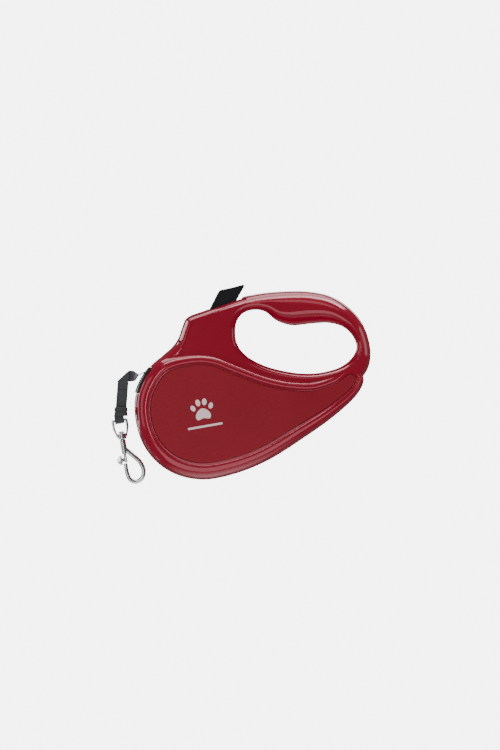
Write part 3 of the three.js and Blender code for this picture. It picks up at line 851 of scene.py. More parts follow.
@dataclass(frozen=True)
class Shell:
    """One half of the housing: the drum's half, the handle's half and what is hollow in them.

    Args:
        side: FRONT or REAR.
        drum, handle, opening: its edges in the side view.
    """

    side: int
    drum: Edge
    handle: Edge
    opening: Edge
    # Depths of the band's crest, the panel's seat and its face, and how far out the first two lie.
    crest: float = 15.9
    crest_in: float = 3.0
    seat: float = 13.7
    seat_out: float = 0.25
    face: float = 15.4
    # The depth from which the crest sinks at the tail, and by what share of its height.
    ease_from: float = 15.1
    ease: float = 0.45
    # Depth of the cavity, thickness of its wall and the depth at which the wall would close.
    floor: float = 12.0
    wall: float = 2.3
    inner: float = 13.4
    # Depth of the handle's flat, the angle at which its rounding meets it, and its crown.
    plateau: float = 12.5
    crease: float = 70.0
    crown: float = 0.3
    # Half the gap between the shells, the chamfer along it, and the steps of the roundings.
    parting: float = 0.03
    chamfer: float = 0.24
    band_steps: int = 14
    edge_steps: int = 12
    # The opening's rim: its least depth, its gain with the width and how square its arc is.
    rim: float = 4
    rim_gain: float = 1.15
    rim_power: float = 1.5
    # Where the drum starts to thin, over what length and by what share.
    tail: float = 58
    tail_long: float = 50
    thinning: float = 0.195
    # From the crest in to the seat, the groove and the bead beside the panel: place and depth.
    groove: Profile = (
        (2.6, 15.84), (2.2, 15.66), (1.9, 15.38), (1.68, 15.1), (1.46, 15.1), (1.22, 15.26),
        (0.85, 15.4), (0.5, 15.42), (seat_out, 15.25), (seat_out, seat),
    )
    # Ends of the pill-shaped recess at the neck's front, and outline of the seam behind it.
    pill: Profile = ((-15.6, 48.6), (-9.9, 63.2))
    pill_half: float = 2.5
    seam: Profile = ((-5.9, 64.2), (-5.5, 64.1), (-13.8, 42.3), (-14.2, 42.4))

    @classmethod
    def tail_depth(cls, x: float) -> float:
        """Returns: the share of the drum's full depth at x; its tail thins to the handle's."""
        return 1 - cls.thinning * eased((x - cls.tail) / cls.tail_long)

    def sunk(self, depth: float) -> Reach:
        """Returns: the depth with its sign, the crest sinking level with the handle at the tail."""
        above = max(depth - self.ease_from, 0.0) * self.ease
        return lambda p: self.side * (depth - above * (1 - p.deep) / self.thinning)

    def drum_half(self) -> Solid:
        """Returns: the drum's half, with its band, the groove, the bead and the panel's seat."""
        rings = [self.drum.ring(self.side * self.parting, lambda p: p.width - self.chamfer)]
        for k in range(self.band_steps + 1):
            turn = math.radians(90 * k / self.band_steps)
            rings.append(self.drum.ring(
                self.sunk(max(self.chamfer, self.crest * math.sin(turn))),
                lambda p, c=math.cos(turn): self.crest_in + (p.width - self.crest_in) * c))
        rings += [self.drum.ring(self.sunk(deep), out) for out, deep in self.groove]
        return Solid.lofted(rings)

    def handle_half(self, inset: float = 0.0) -> Solid:
        """The neck and the loop, drawn smaller by inset all round. Returns: the solid."""
        side, last = self.side, math.radians(self.crease)
        outer = [self.handle.ring(side * self.parting, -self.chamfer - inset)]
        inner = [self.opening.ring(side * self.parting, self.chamfer + inset),
                 self.opening.ring(side * self.chamfer, inset)]
        for k in range(self.edge_steps + 1):
            turn = last * k / self.edge_steps
            deep = self.plateau * math.sin(turn) / math.sin(last) - inset
            share = (1 - math.cos(turn)) / (1 - math.cos(last))
            outer.append(self.handle.ring(side * max(self.chamfer, deep),
                                          lambda p, s=share: -p.width * s - inset))
            turn = math.radians(90 * k / self.edge_steps)
            c, s = math.cos(turn) ** self.rim_power, math.sin(turn) ** self.rim_power
            inner.append(self.opening.ring(
                lambda p, s=s: side * (self.plateau - inset - (
                    self.rim + (p.width - self.rim) * self.rim_gain) * (1 - s)),
                lambda p, c=c: p.width * (1 - c) + inset))
        made = Solid.lofted(outer, inner)
        return made if inset else made.crowned(side, lambda _: self.plateau, self.crown, 7.0)

    def cavity(self) -> Solid:
        """Returns: the room inside the drum."""
        return Solid.lofted([
            self.drum.ring(self.side * deep, lambda p, d=max(deep, 0.0): self.crest_in
                           + (p.width - self.wall - self.crest_in)
                           * math.sqrt(1 - (d / self.inner) ** 2))
            for deep in (-1, 3, 6.4, 8.4, 9.6, 11, self.floor)])

    def well(self) -> Solid:
        """Returns: the round room for the reel."""
        profile = ((0, -1), (44.6, -1), (44.6, 4), (43.9, 6.9), (41.9, 6.9), (41.9, self.floor),
                   (0, self.floor))
        return Solid.turned([(r, deep * self.side) for r, deep in profile], sides=96)

    def span(self, near: float, far: float) -> tuple[float, float]:
        """Returns: two depths on this side, the lower first."""
        return tuple(sorted((near * self.side, far * self.side)))

    def discs(self, radius: float, near: float, far: float, sides: int) -> list[Solid]:
        """Returns: a disc at each screw, between two depths on this side."""
        return [Solid.disc(x, z, radius, *self.span(near, far), sides) for x, z in SCREW_PLACES]

    def marks(self) -> list[Solid]:
        """Returns: the tools of the pill's shallow recess, the seam behind it and its pit."""
        low, high = (Vector(end) for end in self.pill)
        lean = math.degrees(math.atan2(high.y - low.y, high.x - low.x))
        pill = (arc(high.x, high.y, self.pill_half, lean - 90, lean + 90, 14)
                + arc(low.x, low.y, self.pill_half, lean + 90, lean + 270, 14))
        return [Solid.prism(pill, *self.span(3.2, 18)).cut(self.handle_half(0.45)),
                Solid.prism(self.seam, *self.span(3.2, 18)).cut(self.handle_half(0.3)),
                Solid.disc(low.x + 0.5, low.y + 1.2, 0.9, *self.span(2, 18), 20).cut(
                    self.handle_half(1.3))]

    def holes(self) -> list[Solid]:
        """Returns: the screws' holes on this side."""
        if self.side == FRONT:
            return self.discs(1.1, -1, 9, 24)
        return self.discs(1.65, -1, 17, 32) + self.discs(3.0, 9, 17, 40)

    def built(self) -> Solid:
        """Returns: the shell."""
        seat = Solid.lofted([self.drum.ring(self.side * deep, self.seat_out)
                             for deep in (self.seat, 30)])
        skin = self.drum_half().joined(self.handle_half()).cut(seat)
        bosses = [*self.discs(3.4, 0.15, 13, 36), Solid.disc(0, 0, 7.6, *self.span(8.2, 13))]
        inside = [boss.within(skin.copy()) for boss in bosses]
        walls = skin.cut(*self.marks(), self.cavity(), self.well(),
                         Solid.prism(NECK_HOLLOW, *self.span(-1, 9.6)),
                         Solid.prism(GRIP_HOLLOW, *self.span(-1, 8)))
        return walls.joined(*inside).cut(
            *self.holes(), Solid.box((-7.5, -7.3, -16), (9.5, 7.3, 24)).moved(BRAKE_FRAME),
            Nozzle().pocket(), Nozzle().way(), Solid.disc(0, 0, 5.5, *self.span(6, 11.9)))


@dataclass(frozen=True)
class Nozzle:
    """The black guide at the drum's front that the tape comes out of."""

    # Radii, first and last angle in degrees, and half width.
    inner: float = 44.2
    outer: float = 48.8
    start: float = 138.5
    stop: float = 163.5
    half: float = 10.4

    def block(self, inner: float, outer: float, spare: float, half: float) -> Solid:
        """Returns: a part of a ring about the reel's axis."""
        start, stop = self.start - spare, self.stop + spare
        outline = arc(0, 0, inner, start, stop, 12) + arc(0, 0, outer, stop, start, 12)
        return Solid.prism(outline, -half, half)

    def pocket(self) -> Solid:
        """Returns: the room for it in the shells."""
        return self.block(self.inner - GAP, self.outer + 8, 0.5, self.half + GAP)

    def way(self) -> Solid:
        """Returns: the straight way of the tape out of the drum."""
        return Solid.box((-16, -4.5, -1), (14, 4.5, 1)).moved(leaning(-41.5, 27.6, -24))

    def built(self) -> Solid:
        """Returns: the guide, with a funnel round the tape's slot."""
        funnel = Solid.block(4, 5.4, -2.5, 2.5).bevelled(1.3, 4).moved(leaning(-48.4, 25.6, -12))
        guide = self.block(self.inner, self.outer, 0, self.half).bevelled(0.9, 4)
        return guide.cut(self.way(), funnel)


@dataclass(frozen=True)
class Housing(Assembly):
    """The shells, the panels, the emblem, the guide, the screws and what holds the reel."""

    pin: Profile = ((3, 8.2), (5, 8.2), (5.2, 8.4), (5.2, 11.4), (5, 11.6), (0, 11.6))
    bush: Profile = ((3.3, 6.5), (5.2, 6.5), (5.2, 7.05), (5.05, 7.2), (3.3, 7.2))
    # The panel's edge, from its back to its face: how far in and how deep.
    panel_edge: Profile = ((0.05, 14.0), (0.05, 15.0), (0.12, 15.2), (0.3, 15.33),
                           (0.6, Shell.face))
    threads: int = 12
    pitch: float = 0.66
    screw_head: Profile = (
        (0.75, 0.6), (1.28, 0.9), (1.28, 9.3), (2.5, 9.3), (2.7, 9.6), (2.6, 10.3), (2.1, 10.8),
        (1.2, 11.1), (0, 11.1),
    )

    drum: Edge = Edge(PANEL_EDGE, 9, Shell.tail_depth)
    handle: Edge = Edge(HANDLE_EDGE, 8)
    opening: Edge = Edge(OPENING_EDGE, 8)

    def build(self) -> None:
        """Makes every piece of the housing."""
        fixed = self.bench.fixed
        for side, word in ((FRONT, "front"), (REAR, "rear")):
            shell = Shell(side, self.drum, self.handle, self.opening)
            fixed(f"{word}_shell_body", shell.built(), Slot.SHELL, "housing", f"{word}_shell",
                  weighted=True)
            panel = self.panel(side)
            surface = BVHTree.FromBMesh(panel.bm)
            fixed(f"{word}_panel_plate", panel, Slot.PANEL, "housing", f"{word}_panel")
            if side == FRONT:
                Emblem(self.bench, surface).build()
            fixed(f"{word}_bush_ring", Solid.turned([(r, side * h) for r, h in self.bush]),
                  Slot.NYLON, "housing", f"{word}_bush")
        fixed("tape_guide", Nozzle().built(), Slot.GLOSS, "housing", "nozzle")
        fixed("reel_pin", Solid.turned(mirrored(self.pin)), Slot.STEEL, "housing", "spring_arbor")
        for i, (x, z) in enumerate(SCREW_PLACES, 1):
            fixed(f"screw_{i}", self.screw().moved(Matrix.Translation((x, 0, z))), Slot.STEEL,
                  "housing", f"housing_screw_{i}")

    def panel(self, side: int) -> Solid:
        """Returns: the side panel, crowned and with a rounded edge."""
        rings = [self.drum.ring(side * deep, -inset) for inset, deep in self.panel_edge]
        return Solid.lofted(rings).crowned(side, lambda x: Shell.face * Shell.tail_depth(x), 0.4,
                                           12.0)

    def screw(self) -> Solid:
        """Returns: a screw along y at the origin, with a domed head and a cross in it."""
        profile = [(0, -8), (0.5, -7.6)]
        for k in range(self.threads):
            y = -7.4 + k * self.pitch
            profile += [(0.72, y), (1.02, y + 0.22), (0.72, y + 0.44)]
        cross = [Solid.box((-half, 9.95, -slim), (half, 12, slim))
                 for half, slim in ((1.5, 0.28), (0.28, 1.5))]
        return Solid.turned([*profile, *self.screw_head], sides=32).cut(*cross)


@dataclass(frozen=True)
class Emblem(Assembly):
    """A paw print over a bar, printed in silver on the front panel.

    Args:
        surface: the panel, to lay the print on.
    """

    surface: BVHTree
    centre: Vector = Vector((1.4, -0.7))
    tilt: float = 10
    sunk: float = 0.05
    raised: float = 0.06
    # A toe on the right: its place, half axes and lean in degrees; the left ones mirror them.
    toes: Sequence[Sequence[float]] = ((6.3, 4.6, 1.55, 2.2, -24), (2.3, 7.9, 1.65, 2.4, -8))
    pad: Profile = ((0, 3.7), (3.1, 2.2), (5.3, -1.2), (4.4, -4), (0, -3.3), (-4.4, -4),
                    (-5.3, -1.2), (-3.1, 2.2))
    bar: float = 11.6
    bar_z: float = -9
    bar_half: float = 0.75

    def build(self) -> None:
        """Makes the print's patches."""
        outside, inside = self.toes
        toes = ((-1, outside), (-1, inside), (1, inside), (1, outside))
        for i, (side, (a, b, wide, tall, lean)) in enumerate(toes, 1):
            self.patch(f"print_toe_{i}", self.ellipse(a * side, b, wide, tall, lean * side))
        self.patch("print_pad", spline([Vector(p) for p in self.pad], True, 6))
        self.patch("print_bar", arc(self.bar, self.bar_z, self.bar_half, -90, 90, 8)
                   + arc(-self.bar, self.bar_z, self.bar_half, 90, 270, 8))

    @staticmethod
    def ellipse(a: float, b: float, wide: float, tall: float, lean: float) -> list[Vector]:
        """Returns: an ellipse about a, b with half axes wide and tall, leaning by degrees."""
        turn = Matrix.Rotation(math.radians(lean), 2)
        return [Vector((a, b)) + turn @ Vector(p) for p in oval(2 * wide, 2 * tall, 28)]

    def patch(self, name: str, outline: Sequence[Sequence[float]]) -> None:
        """Lays one patch of the print on the panel."""
        turn = Matrix.Rotation(math.radians(self.tilt), 2)
        solid = Solid.prism([self.centre + turn @ Vector(p) for p in outline], -21, -20)

        def flat(face: Face) -> bool:
            """Returns: whether a face is the patch's front or back."""
            return abs(face.normal.y) > 0.9

        solid.sliced(X_AXIS, -14, 16, 1.5, flat).sliced(Z_AXIS, -16, 14, 1.5, flat)
        for v in solid.bm.verts:
            hit = self.surface.ray_cast(Vector((v.co.x, -30, v.co.z)), Y_AXIS)[0]
            v.co.y = hit.y - self.raised if v.co.y < -20.5 else hit.y + self.sunk
        self.bench.fixed(name, solid, None, "housing", material=self.bench.palette.silver)


# ---- reel


@dataclass(frozen=True)
class Reel(Assembly):
    """The sprung reel: two notched flanges, the wound tape and the spring in the hub."""

    # The flanges' notches: number, width in degrees, root and rim radius, and first angle.
    notches: int = 24
    notch: float = 6.4
    root: float = 41.5
    rim: float = 43.4
    first: float = 92.3
    # The front flange's round windows: number, place and radius.
    windows: int = 5
    window_at: float = 33.5
    window: float = 5
    hub: Profile = ((22.9, -4.8), (24.9, -4.8), (24.9, 4.3), (24.7, 4.5), (23.1, 4.5), (22.9, 4.3))
    # The coil: edges drawn, their pitch and half the tape's width.
    winds: int = 47
    wind: float = 0.345
    tape_half: float = 4.0
    # The main spring: turns, steps a turn, inner radius, reach, half width and half thickness.
    spring_turns: int = 7
    spring_steps: int = 48
    spring_in: float = 5.6
    spring_wide: float = 16
    spring_half: float = 3.9
    spring_thin: float = 0.22

    def build(self) -> None:
        """Makes the reel's pieces."""
        windows = []
        for k in range(self.windows):
            angle = 20 + 360 / self.windows * k
            windows.append(Solid.disc(*arc(0, 0, self.window_at, angle, angle, 1)[0], self.window,
                                      -9, 0, 36))
        drum = self.flange(-6.2, -4.7).cut(*windows).joined(Solid.turned(self.hub, sides=96))
        for name, solid, slot, body, node in (
                ("reel_body", drum, Slot.MATTE, "reel", "reel_drum"),
                ("reel_lid", self.flange(4.8, 6.2), Slot.MATTE, "reel", "reel_cover"),
                ("wound_tape", self.coil(), Slot.WEBBING, "reel", "tape_coil"),
                ("clock_spring", self.spring(), Slot.STEEL, "housing", "main_spring")):
            self.bench.fixed(name, solid, slot, body, node)

    def flange(self, y0: float, y1: float) -> Solid:
        """Returns: a disc with the brake's notches in its rim and a hole for the pin."""
        pitch, half = 360 / self.notches, self.notch / 2
        outline: list[tuple[float, float]] = []
        for i in range(self.notches):
            at = self.first + i * pitch
            outline += arc(0, 0, self.root, at - half, at + half, 3)
            outline += arc(0, 0, self.rim, at + half + 1, at + pitch - half - 1, 4)
        return Solid.prism(outline, y0, y1).bevelled(0.2, 2, 60).cut(
            Solid.disc(0, 0, 3.4, -9, 9, 40))

    def coil(self) -> Solid:
        """Returns: the wound tape, each turn showing as a ridge at both edges."""
        return Solid.turned(mirrored([(25.2 + self.wind * k, self.tape_half - 0.16 * (k % 2))
                                      for k in range(self.winds)]), sides=96)

    def spring(self) -> Solid:
        """Returns: the flat spring wound from the pin out to the hub."""
        count = self.spring_turns * self.spring_steps
        path = []
        for k in range(count + 1):
            r = self.spring_in + self.spring_wide * (k / count) ** 0.9
            turn = 2 * math.pi * k / self.spring_steps
            path.append(Vector((r * math.cos(turn), 0, r * math.sin(turn))))
        half, thin = self.spring_half, self.spring_thin
        return Solid.swept(path, [(-half, -thin), (half, -thin), (half, thin), (-half, thin)],
                           Y_AXIS)


# ---- brake


def helix(radius: float, wire: float, z0: float, z1: float, turns: int,
          per_turn: int = 20) -> Solid:
    """Returns: a coil spring along z."""
    count = turns * per_turn
    path = []
    for k in range(count + 1):
        angle = 2 * math.pi * k / per_turn
        path.append(Vector((radius * math.cos(angle), radius * math.sin(angle),
                            z0 + (z1 - z0) * k / count)))
    return Solid.swept(path, oval(2 * wire, 2 * wire))


@dataclass(frozen=True)
class Brake(Assembly):
    """The thumb button, its plunger and spring, in a frame in which it is pressed along -z."""

    spring: tuple[float, float] = (-26.4, -17.3)
    blade: Profile = ((-2.2, -27.5), (-1.3, -35.4), (1.3, -35.4), (2.2, -27.5))
    top: Profile = ((6.5, 18.3), (2.2, 14.5), (-2.2, 10.6), (-5, 8.5), (-6.7, 6.8), (-7.2, 4.6))
    base: Profile = ((-7.2, -12.5), (6.8, -12.5), (6.8, 7.8), (7.2, 17.4))
    inset: Profile = ((-5.9, -11), (5.5, -11), (5.5, 7.8), (5.8, 15.6), (2.2, 12.6), (-2.2, 8.9),
                      (-4.4, 7.2), (-5.5, 6.2), (-5.9, 4.6))

    def build(self) -> None:
        """Makes the brake's pieces."""
        self.bench.fixed("thumb_key", self.button().moved(BRAKE_FRAME), Slot.GLOSS, "thumb_button",
                         "brake_button")
        plunger = Solid.block(6, 5, -16.6, -12.8).bevelled(0.4, 2).joined(
            Solid.block(2.2, 2.6, -31, -16.5), Solid.prism(self.blade, -6, 6).bevelled(0.25, 2))
        self.bench.fixed("brake_pawl", plunger.moved(BRAKE_FRAME), Slot.MATTE, "brake",
                         "brake_plunger")
        self.bench.stretched("return_spring", helix(4.2, 0.45, *self.spring, 4).moved(BRAKE_FRAME),
                             Slot.STEEL, "brake_spring", ("housing", "brake"),
                             [BRAKE_FRAME @ (Z_AXIS * z) for z in self.spring])

    def button(self) -> Solid:
        """Returns: the wedge-shaped key, its top dished for the thumb."""
        outline = [*self.base, *spline([Vector(p) for p in self.top], False, 4)]
        pockets = [Solid.prism(self.inset, *ys) for ys in ((-9, -6.5), (6.5, 9))]
        return Solid.prism(outline, -7, 7).bevelled(0.85, 5, 30).cut(*pockets)


# ---- tape and strap


def upright(edge: bmesh.types.BMEdge) -> bool:
    """Returns: whether an edge runs along z."""
    along = edge.verts[0].co - edge.verts[1].co
    return abs(along.z) > 0.9 * along.length


@dataclass(frozen=True)
class Strap(Assembly):
    """The tape from the reel to the fold, the strap below it, its keeper and the eye's loop.

    Lengths along the tape are counted from the middle of the fold.
    """

    wide: float = 7.7
    thick: float = 0.7
    fold: Vector = Vector((-54.4, 25.5))
    lean: float = 4.3
    bend: float = 0.45
    # Two places along the crease, given to the tape's lead as its ends, which are not used.
    turns: tuple[float, float] = (0.7, -3.8)
    # Places along the tape: the lead's curve ends, strap takes over, strap ends.
    lead_end: float = -2.9
    joint: float = 10.0
    stop: float = 24.6
    # Two places along the strap, given to the strap band as its ends, which are not used.
    hold: float = joint + 0.4
    release: float = 21.5
    # The x at which the tape starts to turn on edge, and over what length.
    twist_from: float = -43.6
    twist_long: float = 6.2
    keeper_place: tuple[float, float] = (-56.7, 0.4)
    # Height of the eye's bar, radius of the turn round it and one side of the tape's section.
    eye_bar: float = 13.6
    turn: float = 1.95
    loop_side: Profile = ((-3.3, -0.2), (-3.15, -0.34), (0, -0.34), (3.15, -0.34), (3.3, -0.2))

    @property
    def crease(self) -> Vector:
        """Returns: the direction of the fold's line in the side view."""
        turn = (math.pi / 2 - math.radians(self.lean)) / 2
        return Vector((math.cos(turn), math.sin(turn)))

    @property
    def out(self) -> Vector:
        """Returns: the direction out of the fold in the side view."""
        return Vector((-self.crease.y, self.crease.x))

    def build(self) -> None:
        """Makes the tape, the strap and what is on it."""
        turns = (self.fold + self.crease * s for s in self.turns)
        self.bench.stretched("tape_lead", self.lead(), Slot.WEBBING, "tape_run",
                             ("housing", "strap"), [(p.x, 0, p.y) for p in turns])
        band = self.flat_tape(self.joint - 0.2, self.stop, 0.42, self.wide * 0.998)
        woven = {"material": self.bench.palette.strap}
        self.bench.stretched("strap_band", self.thickened(band, self.folded), Slot.WEBBING,
                             "strap_run", ("strap", "strap_end"),
                             [self.folded(s, 0) for s in (self.hold, self.release)], **woven)
        keeper = self.keeper().moved(leaning(*self.keeper_place, 0))
        self.bench.fixed("keeper_sleeve", keeper, Slot.MATTE, "strap_end", "tape_keeper")
        self.bench.fixed("strap_turn", self.loop().moved(SNAP_FRAME), Slot.WEBBING, "strap_end",
                         "strap_loop", **woven)

    @staticmethod
    def keeper() -> Solid:
        """Returns: the sleeve that stops the strap at the guide, with a groove round it."""
        sleeve = Solid.block(4.55, 3.3, -3.1, 3.1).bevelled(1.3, 5, only=upright).bevelled(0.5, 3)
        core = Solid.block(4.2, 2.95, -1, 1).bevelled(1.1, 5, only=upright)
        return sleeve.cut(Solid.block(6, 5, -0.35, 0.15).cut(core))

    def folded(self, along: float, across: float) -> Vector:
        """Places a point of the flat tape round the slanting fold.

        Args:
            along: the distance past the middle of the fold.
            across: the distance up from the tape's middle line.
        Returns: the point.
        """
        flat = Vector((-along, across))
        d, reach = flat.dot(self.out), math.pi * self.bend / 2
        if abs(d) > reach:
            level, y = reach - abs(d), math.copysign(self.bend, -d)
        else:
            level, y = self.bend * math.cos(d / self.bend), -self.bend * math.sin(d / self.bend)
        place = self.fold + self.crease * flat.dot(self.crease) + self.out * level
        return Vector((place.x, y, place.y))

    @staticmethod
    def flat_tape(start: float, stop: float, step: float, width: float) -> Solid:
        """Returns: a flat grid with its length along x and its width along z."""
        solid = Solid()
        bmesh.ops.create_grid(solid.bm, x_segments=round((stop - start) / step), y_segments=6,
                              size=0.5, matrix=Matrix.Translation(((start + stop) / 2, 0, 0))
                              @ Matrix.Diagonal((stop - start, 1, width, 1))
                              @ Matrix.Rotation(-math.pi / 2, 4, "X"))
        return solid

    def thickened(self, solid: Solid, place: Callable[[float, float], Vector]) -> Solid:
        """Lays a flat grid in its place and gives it the tape's thickness. Returns: the solid."""
        for v in solid.bm.verts:
            v.co = place(v.co.x, v.co.z)
        solid.bm.normal_update()
        for v, normal in {v: v.normal.copy() for v in solid.bm.verts}.items():
            v.co -= normal * self.thick / 2
        bmesh.ops.solidify(solid.bm, geom=solid.bm.faces[:], thickness=-self.thick)
        return solid.cleaned()

    def lead(self) -> Solid:
        """Returns: the tape from the coil through the guide, turned on edge and folded down."""
        line = spline([Vector(p) for p in (
            (-19.4, 0, 37.5), (-38, 0, 29.2), (-44.6, 0, 26.2), (-50.2, self.bend, 25.5),
            (-51.5, self.bend, 25.5))], False, 14)
        reach = [0.0]
        for a, b in zip(line, line[1:]):
            reach.append(reach[-1] + (b - a).length)
        start = self.lead_end - reach[-1]
        solid = self.flat_tape(start, self.joint, 0.45, self.wide)
        normal = Vector((-self.out.x, 0, self.out.y))
        for k in range(-4, 5):
            bmesh.ops.bisect_plane(
                solid.bm, geom=[*solid.bm.verts, *solid.bm.edges, *solid.bm.faces], dist=1e-4,
                plane_co=normal * (k * 0.177), plane_no=normal)

        def place(along: float, across: float) -> Vector:
            """Returns: where a point of the flat tape lies."""
            if along > self.lead_end:
                return self.folded(along, across)
            far, last = along - start, len(line) - 1
            i = min(max(next((n for n, r in enumerate(reach) if r >= far), last), 1), last)
            share = (far - reach[i - 1]) / (reach[i] - reach[i - 1])
            centre = line[i - 1].lerp(line[i], share)
            heading = (line[i] - line[i - 1]).normalized()
            twist = eased((self.twist_from - centre.x) / self.twist_long)
            return centre + Matrix.Rotation(-math.pi / 2 * twist, 3, heading) @ Y_AXIS * across

        return self.thickened(solid, place)

    def loop(self) -> Solid:
        """Returns: the strap's turn round the bar of the eye."""
        z, turn = self.eye_bar, self.turn
        path = [(-turn, z + 4.5 - 0.75 * k) for k in range(6)]
        path += arc(0, z, turn, 180, 360, 18)
        path += [(turn, z + 0.75 * k) for k in range(1, 7)]
        outline = [*self.loop_side, *((-a, -b) for a, b in self.loop_side)]
        return Solid.swept([Vector((0, y, h)) for y, h in path], outline, X_AXIS)


# ---- snap


@dataclass(frozen=True)
class Snap(Assembly):
    """The swivel eye, the cast hook, its bolt and spring, drawn with the swivel along z."""

    spring: tuple[float, float] = (-1.8, -8.2)
    # Right half of the eye from its foot up, and of its window.
    eye_side: Profile = ((3.6, 1.6), (5.8, 8.5), (5.8, 13.8), (4.5, 14.7))
    window: Profile = ((3, 4.2), (4, 8.4), (4, 12.8))
    bow: Profile = ((0.9, -7), (5.2, -11.9), (9.6, -17.4), (11.3, -23.4), (9.3, -28.9),
                    (4.6, -30.9), (0.9, -28.6), (-0.5, -23.6), (-0.6, -16.9))
    head: Profile = ((0, 4.65), (2.3, 4.65), (2.2, 5.2), (1.7, 5.75), (0, 5.95))
    pin: Profile = ((0, -16.5), (0.8, -16.4), (1.15, -16), (1.15, -8.6), (0, -8.6))

    def build(self) -> None:
        """Makes the snap's pieces."""
        for name, solid, body, node in (("cast_eye", self.eye(), "eye", "swivel_eye"),
                                        ("cast_hook", self.hook(), "snap", "snap_hook"),
                                        ("bolt_pin", self.bolt(), "bolt", "snap_bolt")):
            self.bench.fixed(name, solid.moved(SNAP_FRAME), Slot.CHROME, body, node, sharp=50)
        spring = helix(0.95, 0.2, *sorted(self.spring), 6, 14)
        self.bench.stretched("pin_spring", spring.moved(SNAP_FRAME), Slot.STEEL, "bolt_spring",
                             ("snap", "bolt"), [SNAP_FRAME @ (Z_AXIS * z) for z in self.spring])

    @staticmethod
    def both(half: Profile) -> list[tuple[float, float]]:
        """Returns: a symmetrical outline from its right half, given from the bottom up."""
        return [*half, *((-x, z) for x, z in reversed(half))]

    def eye(self) -> Solid:
        """Returns: the trapezoid eye on its collar."""
        frame = Solid.prism(self.both(self.eye_side), -1.25, 1.25).bevelled(0.6, 3).cut(
            Solid.prism(self.both(self.window), -3, 3))
        solid = frame.joined(Solid.post(2.9, 0.35, 4.3)).cast(0.16, 5)
        return solid.cut(Solid.post(1.65, -2, 8), Solid.post(2.75, 4.3, 7))

    def hook(self) -> Solid:
        """Returns: the hook with its barrel, slotted for the bolt's knob, and its swivel head."""
        path = spline([Vector((x, 0, z)) for x, z in self.bow], False, 8)
        bow = Solid.swept(path, lambda t: oval(3.6 - 0.5 * t, 3.3 - 0.4 * t, 20, 2.6), Y_AXIS)
        barrel = Solid.post(2.15, -10.2, 0).bevelled(0.35, 3, 60)
        solid = bow.joined(barrel, Solid.post(1.35, -0.5, 5)).cast(0.17, 4)
        return solid.joined(Solid.turned(self.head, Z_AXIS, 32)).cut(
            Solid.post(1.45, -14, -1.4), Solid.box((-4, -0.75, -14), (0, 0.75, -7)))

    def bolt(self) -> Solid:
        """Returns: the pin that closes the hook, with its half-round thumb knob."""
        knob = Solid.disc(-2.6, -14.4, 3.4, -1, 1, 40).bevelled(0.35, 3, 60).cut(
            Solid.box((-2.5, -2, -19), (4, 2, -10)))
        return Solid.turned(self.pin, Z_AXIS, 28).joined(
            Solid.box((-3.2, -0.4, -15.6), (0, 0.4, -13)), knob)


# ---- studio


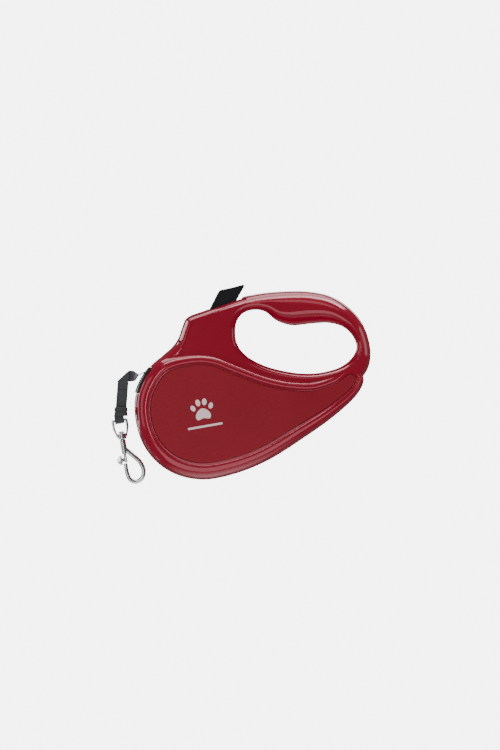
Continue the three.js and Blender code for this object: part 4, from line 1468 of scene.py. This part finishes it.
@dataclass(frozen=True)
class Studio:
    """The camera, the pale floor and the soft lights."""

    aim: Vector = Vector((-0.0417, 0.0, -0.04775))
    near_face: float = 0.0155
    distance: float = 2.0
    span: float = 0.525
    sensor: float = 36
    floor_y: float = 0.1
    floor_z: float = -0.42
    floor_radius: float = 1.5
    # Brightness of the surround as the leash reflects it, as it lights it and as it is seen.
    reflected: Row = (0.1, 0.1, 0.103)
    diffuse: Row = (0.95,) * 3
    seen: Row = (6.0,) * 3
    # Soft lights: name, place, width and height in metres, power in watts.
    lights: Sequence[tuple[str, Row, tuple[float, float], float]] = (
        ("overhead_strip", (0.0, -0.12, 1.25), (1.8, 0.3), 14),
        ("overhead_broad", (0.0, 0.4, 1.25), (1.8, 0.8), 15),
        ("high_front", (-0.15, -0.7, 1.15), (1.6, 0.3), 2),
        ("near_left", (-0.6, -1.9, 0.1), (0.25, 0.9), 4),
        ("far_left", (-1.25, 1.0, 0.1), (1.0, 1.0), 9),
        ("left", (-1.2, -0.4, 0.1), (0.6, 1.0), 2),
        ("low_front", (0.0, -0.95, -0.9), (1.8, 1.2), 11),
        ("behind", (0.3, 1.5, 0.7), (1.0, 0.7), 6),
        ("right_side", (1.4, 0.1, 0.3), (0.8, 0.8), 3),
    )

    def camera(self) -> None:
        """Makes the camera, square to the side of the leash."""
        data = bpy.data.cameras.new("camera")
        data.sensor_width = self.sensor
        data.lens = self.sensor * self.distance / self.span
        made = self.placed("camera", data, self.aim - Y_AXIS * (self.distance + self.near_face))
        made.rotation_euler = (math.pi / 2, 0, 0)
        bpy.context.scene.camera = made

    def build(self) -> None:
        """Makes the floor, the sky and the lights."""
        self.floor()
        self.sky()
        for name, place, (width, height), power in self.lights:
            data = bpy.data.lights.new(name, "AREA")
            data.shape = "RECTANGLE"
            data.size, data.size_y, data.energy = width, height, power
            made = self.placed(name, data, place)
            made.rotation_euler = (self.aim - Vector(place)).to_track_quat("-Z", "Y").to_euler()
            made.visible_camera = False

    @staticmethod
    def placed(name: str, data: bpy.types.ID, place: Sequence[float] = (0, 0, 0)) -> Object:
        """Returns: a new object of the scene at a place."""
        made = bpy.data.objects.new(name, data)
        made.location = place
        bpy.context.scene.collection.objects.link(made)
        return made

    def floor(self) -> None:
        """Makes a round pale floor that fades out."""
        bm = bmesh.new()
        bmesh.ops.create_circle(
            bm, cap_ends=True, segments=96, radius=self.floor_radius,
            matrix=Matrix.Translation((self.aim.x, self.floor_y, self.floor_z)))
        mesh = bpy.data.meshes.new("floor")
        bm.to_mesh(mesh)
        bm.free()
        recipe = Recipe.material("pale_floor")
        _, x, y, _ = recipe.place()
        sides = (x + -self.aim.x, y + -self.floor_y)
        far = (sides[0] * sides[0] + sides[1] * sides[1]).worked("POWER", 0.5)
        fade = recipe.node("ShaderNodeMapRange", {"clamp": True}, Value=far, From_Min=0.05,
                           From_Max=0.28, To_Min=0.8, To_Max=0.0)
        recipe.set(Base_Color=(0.8, 0.8, 0.8), Roughness=0.9, Alpha=Term(recipe, fade.outputs[0]))
        mesh.materials.append(recipe.data)
        self.placed("floor", mesh)

    def sky(self) -> None:
        """Makes a pale surround that the gloss reflects as a dimmer one."""
        recipe = Recipe(bpy.data.worlds.new("surround"), "Background")
        rays = recipe.node("ShaderNodeLightPath").outputs
        colour: Row | Term = self.reflected
        for kind, level in (("Is Diffuse Ray", self.diffuse), ("Is Camera Ray", self.seen)):
            colour = recipe.between(Term(recipe, rays[kind]), colour, level)
        recipe.set(Color=colour)
        bpy.context.scene.world = recipe.data


def main() -> None:
    """Builds the leash and its studio."""
    logging.basicConfig(level=logging.INFO, format="%(message)s")
    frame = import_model()
    axis = Vector(next(j["pos_m"] for j in frame["joints"] if j["name"] == "reel_spin"))
    studio = Studio()
    studio.camera()
    bench = Bench(Palette(), axis)
    for part in (Housing(bench), Reel(bench), Brake(bench), Strap(bench), Snap(bench)):
        part.build()
    studio.build()


if __name__ == "__main__":
    main()
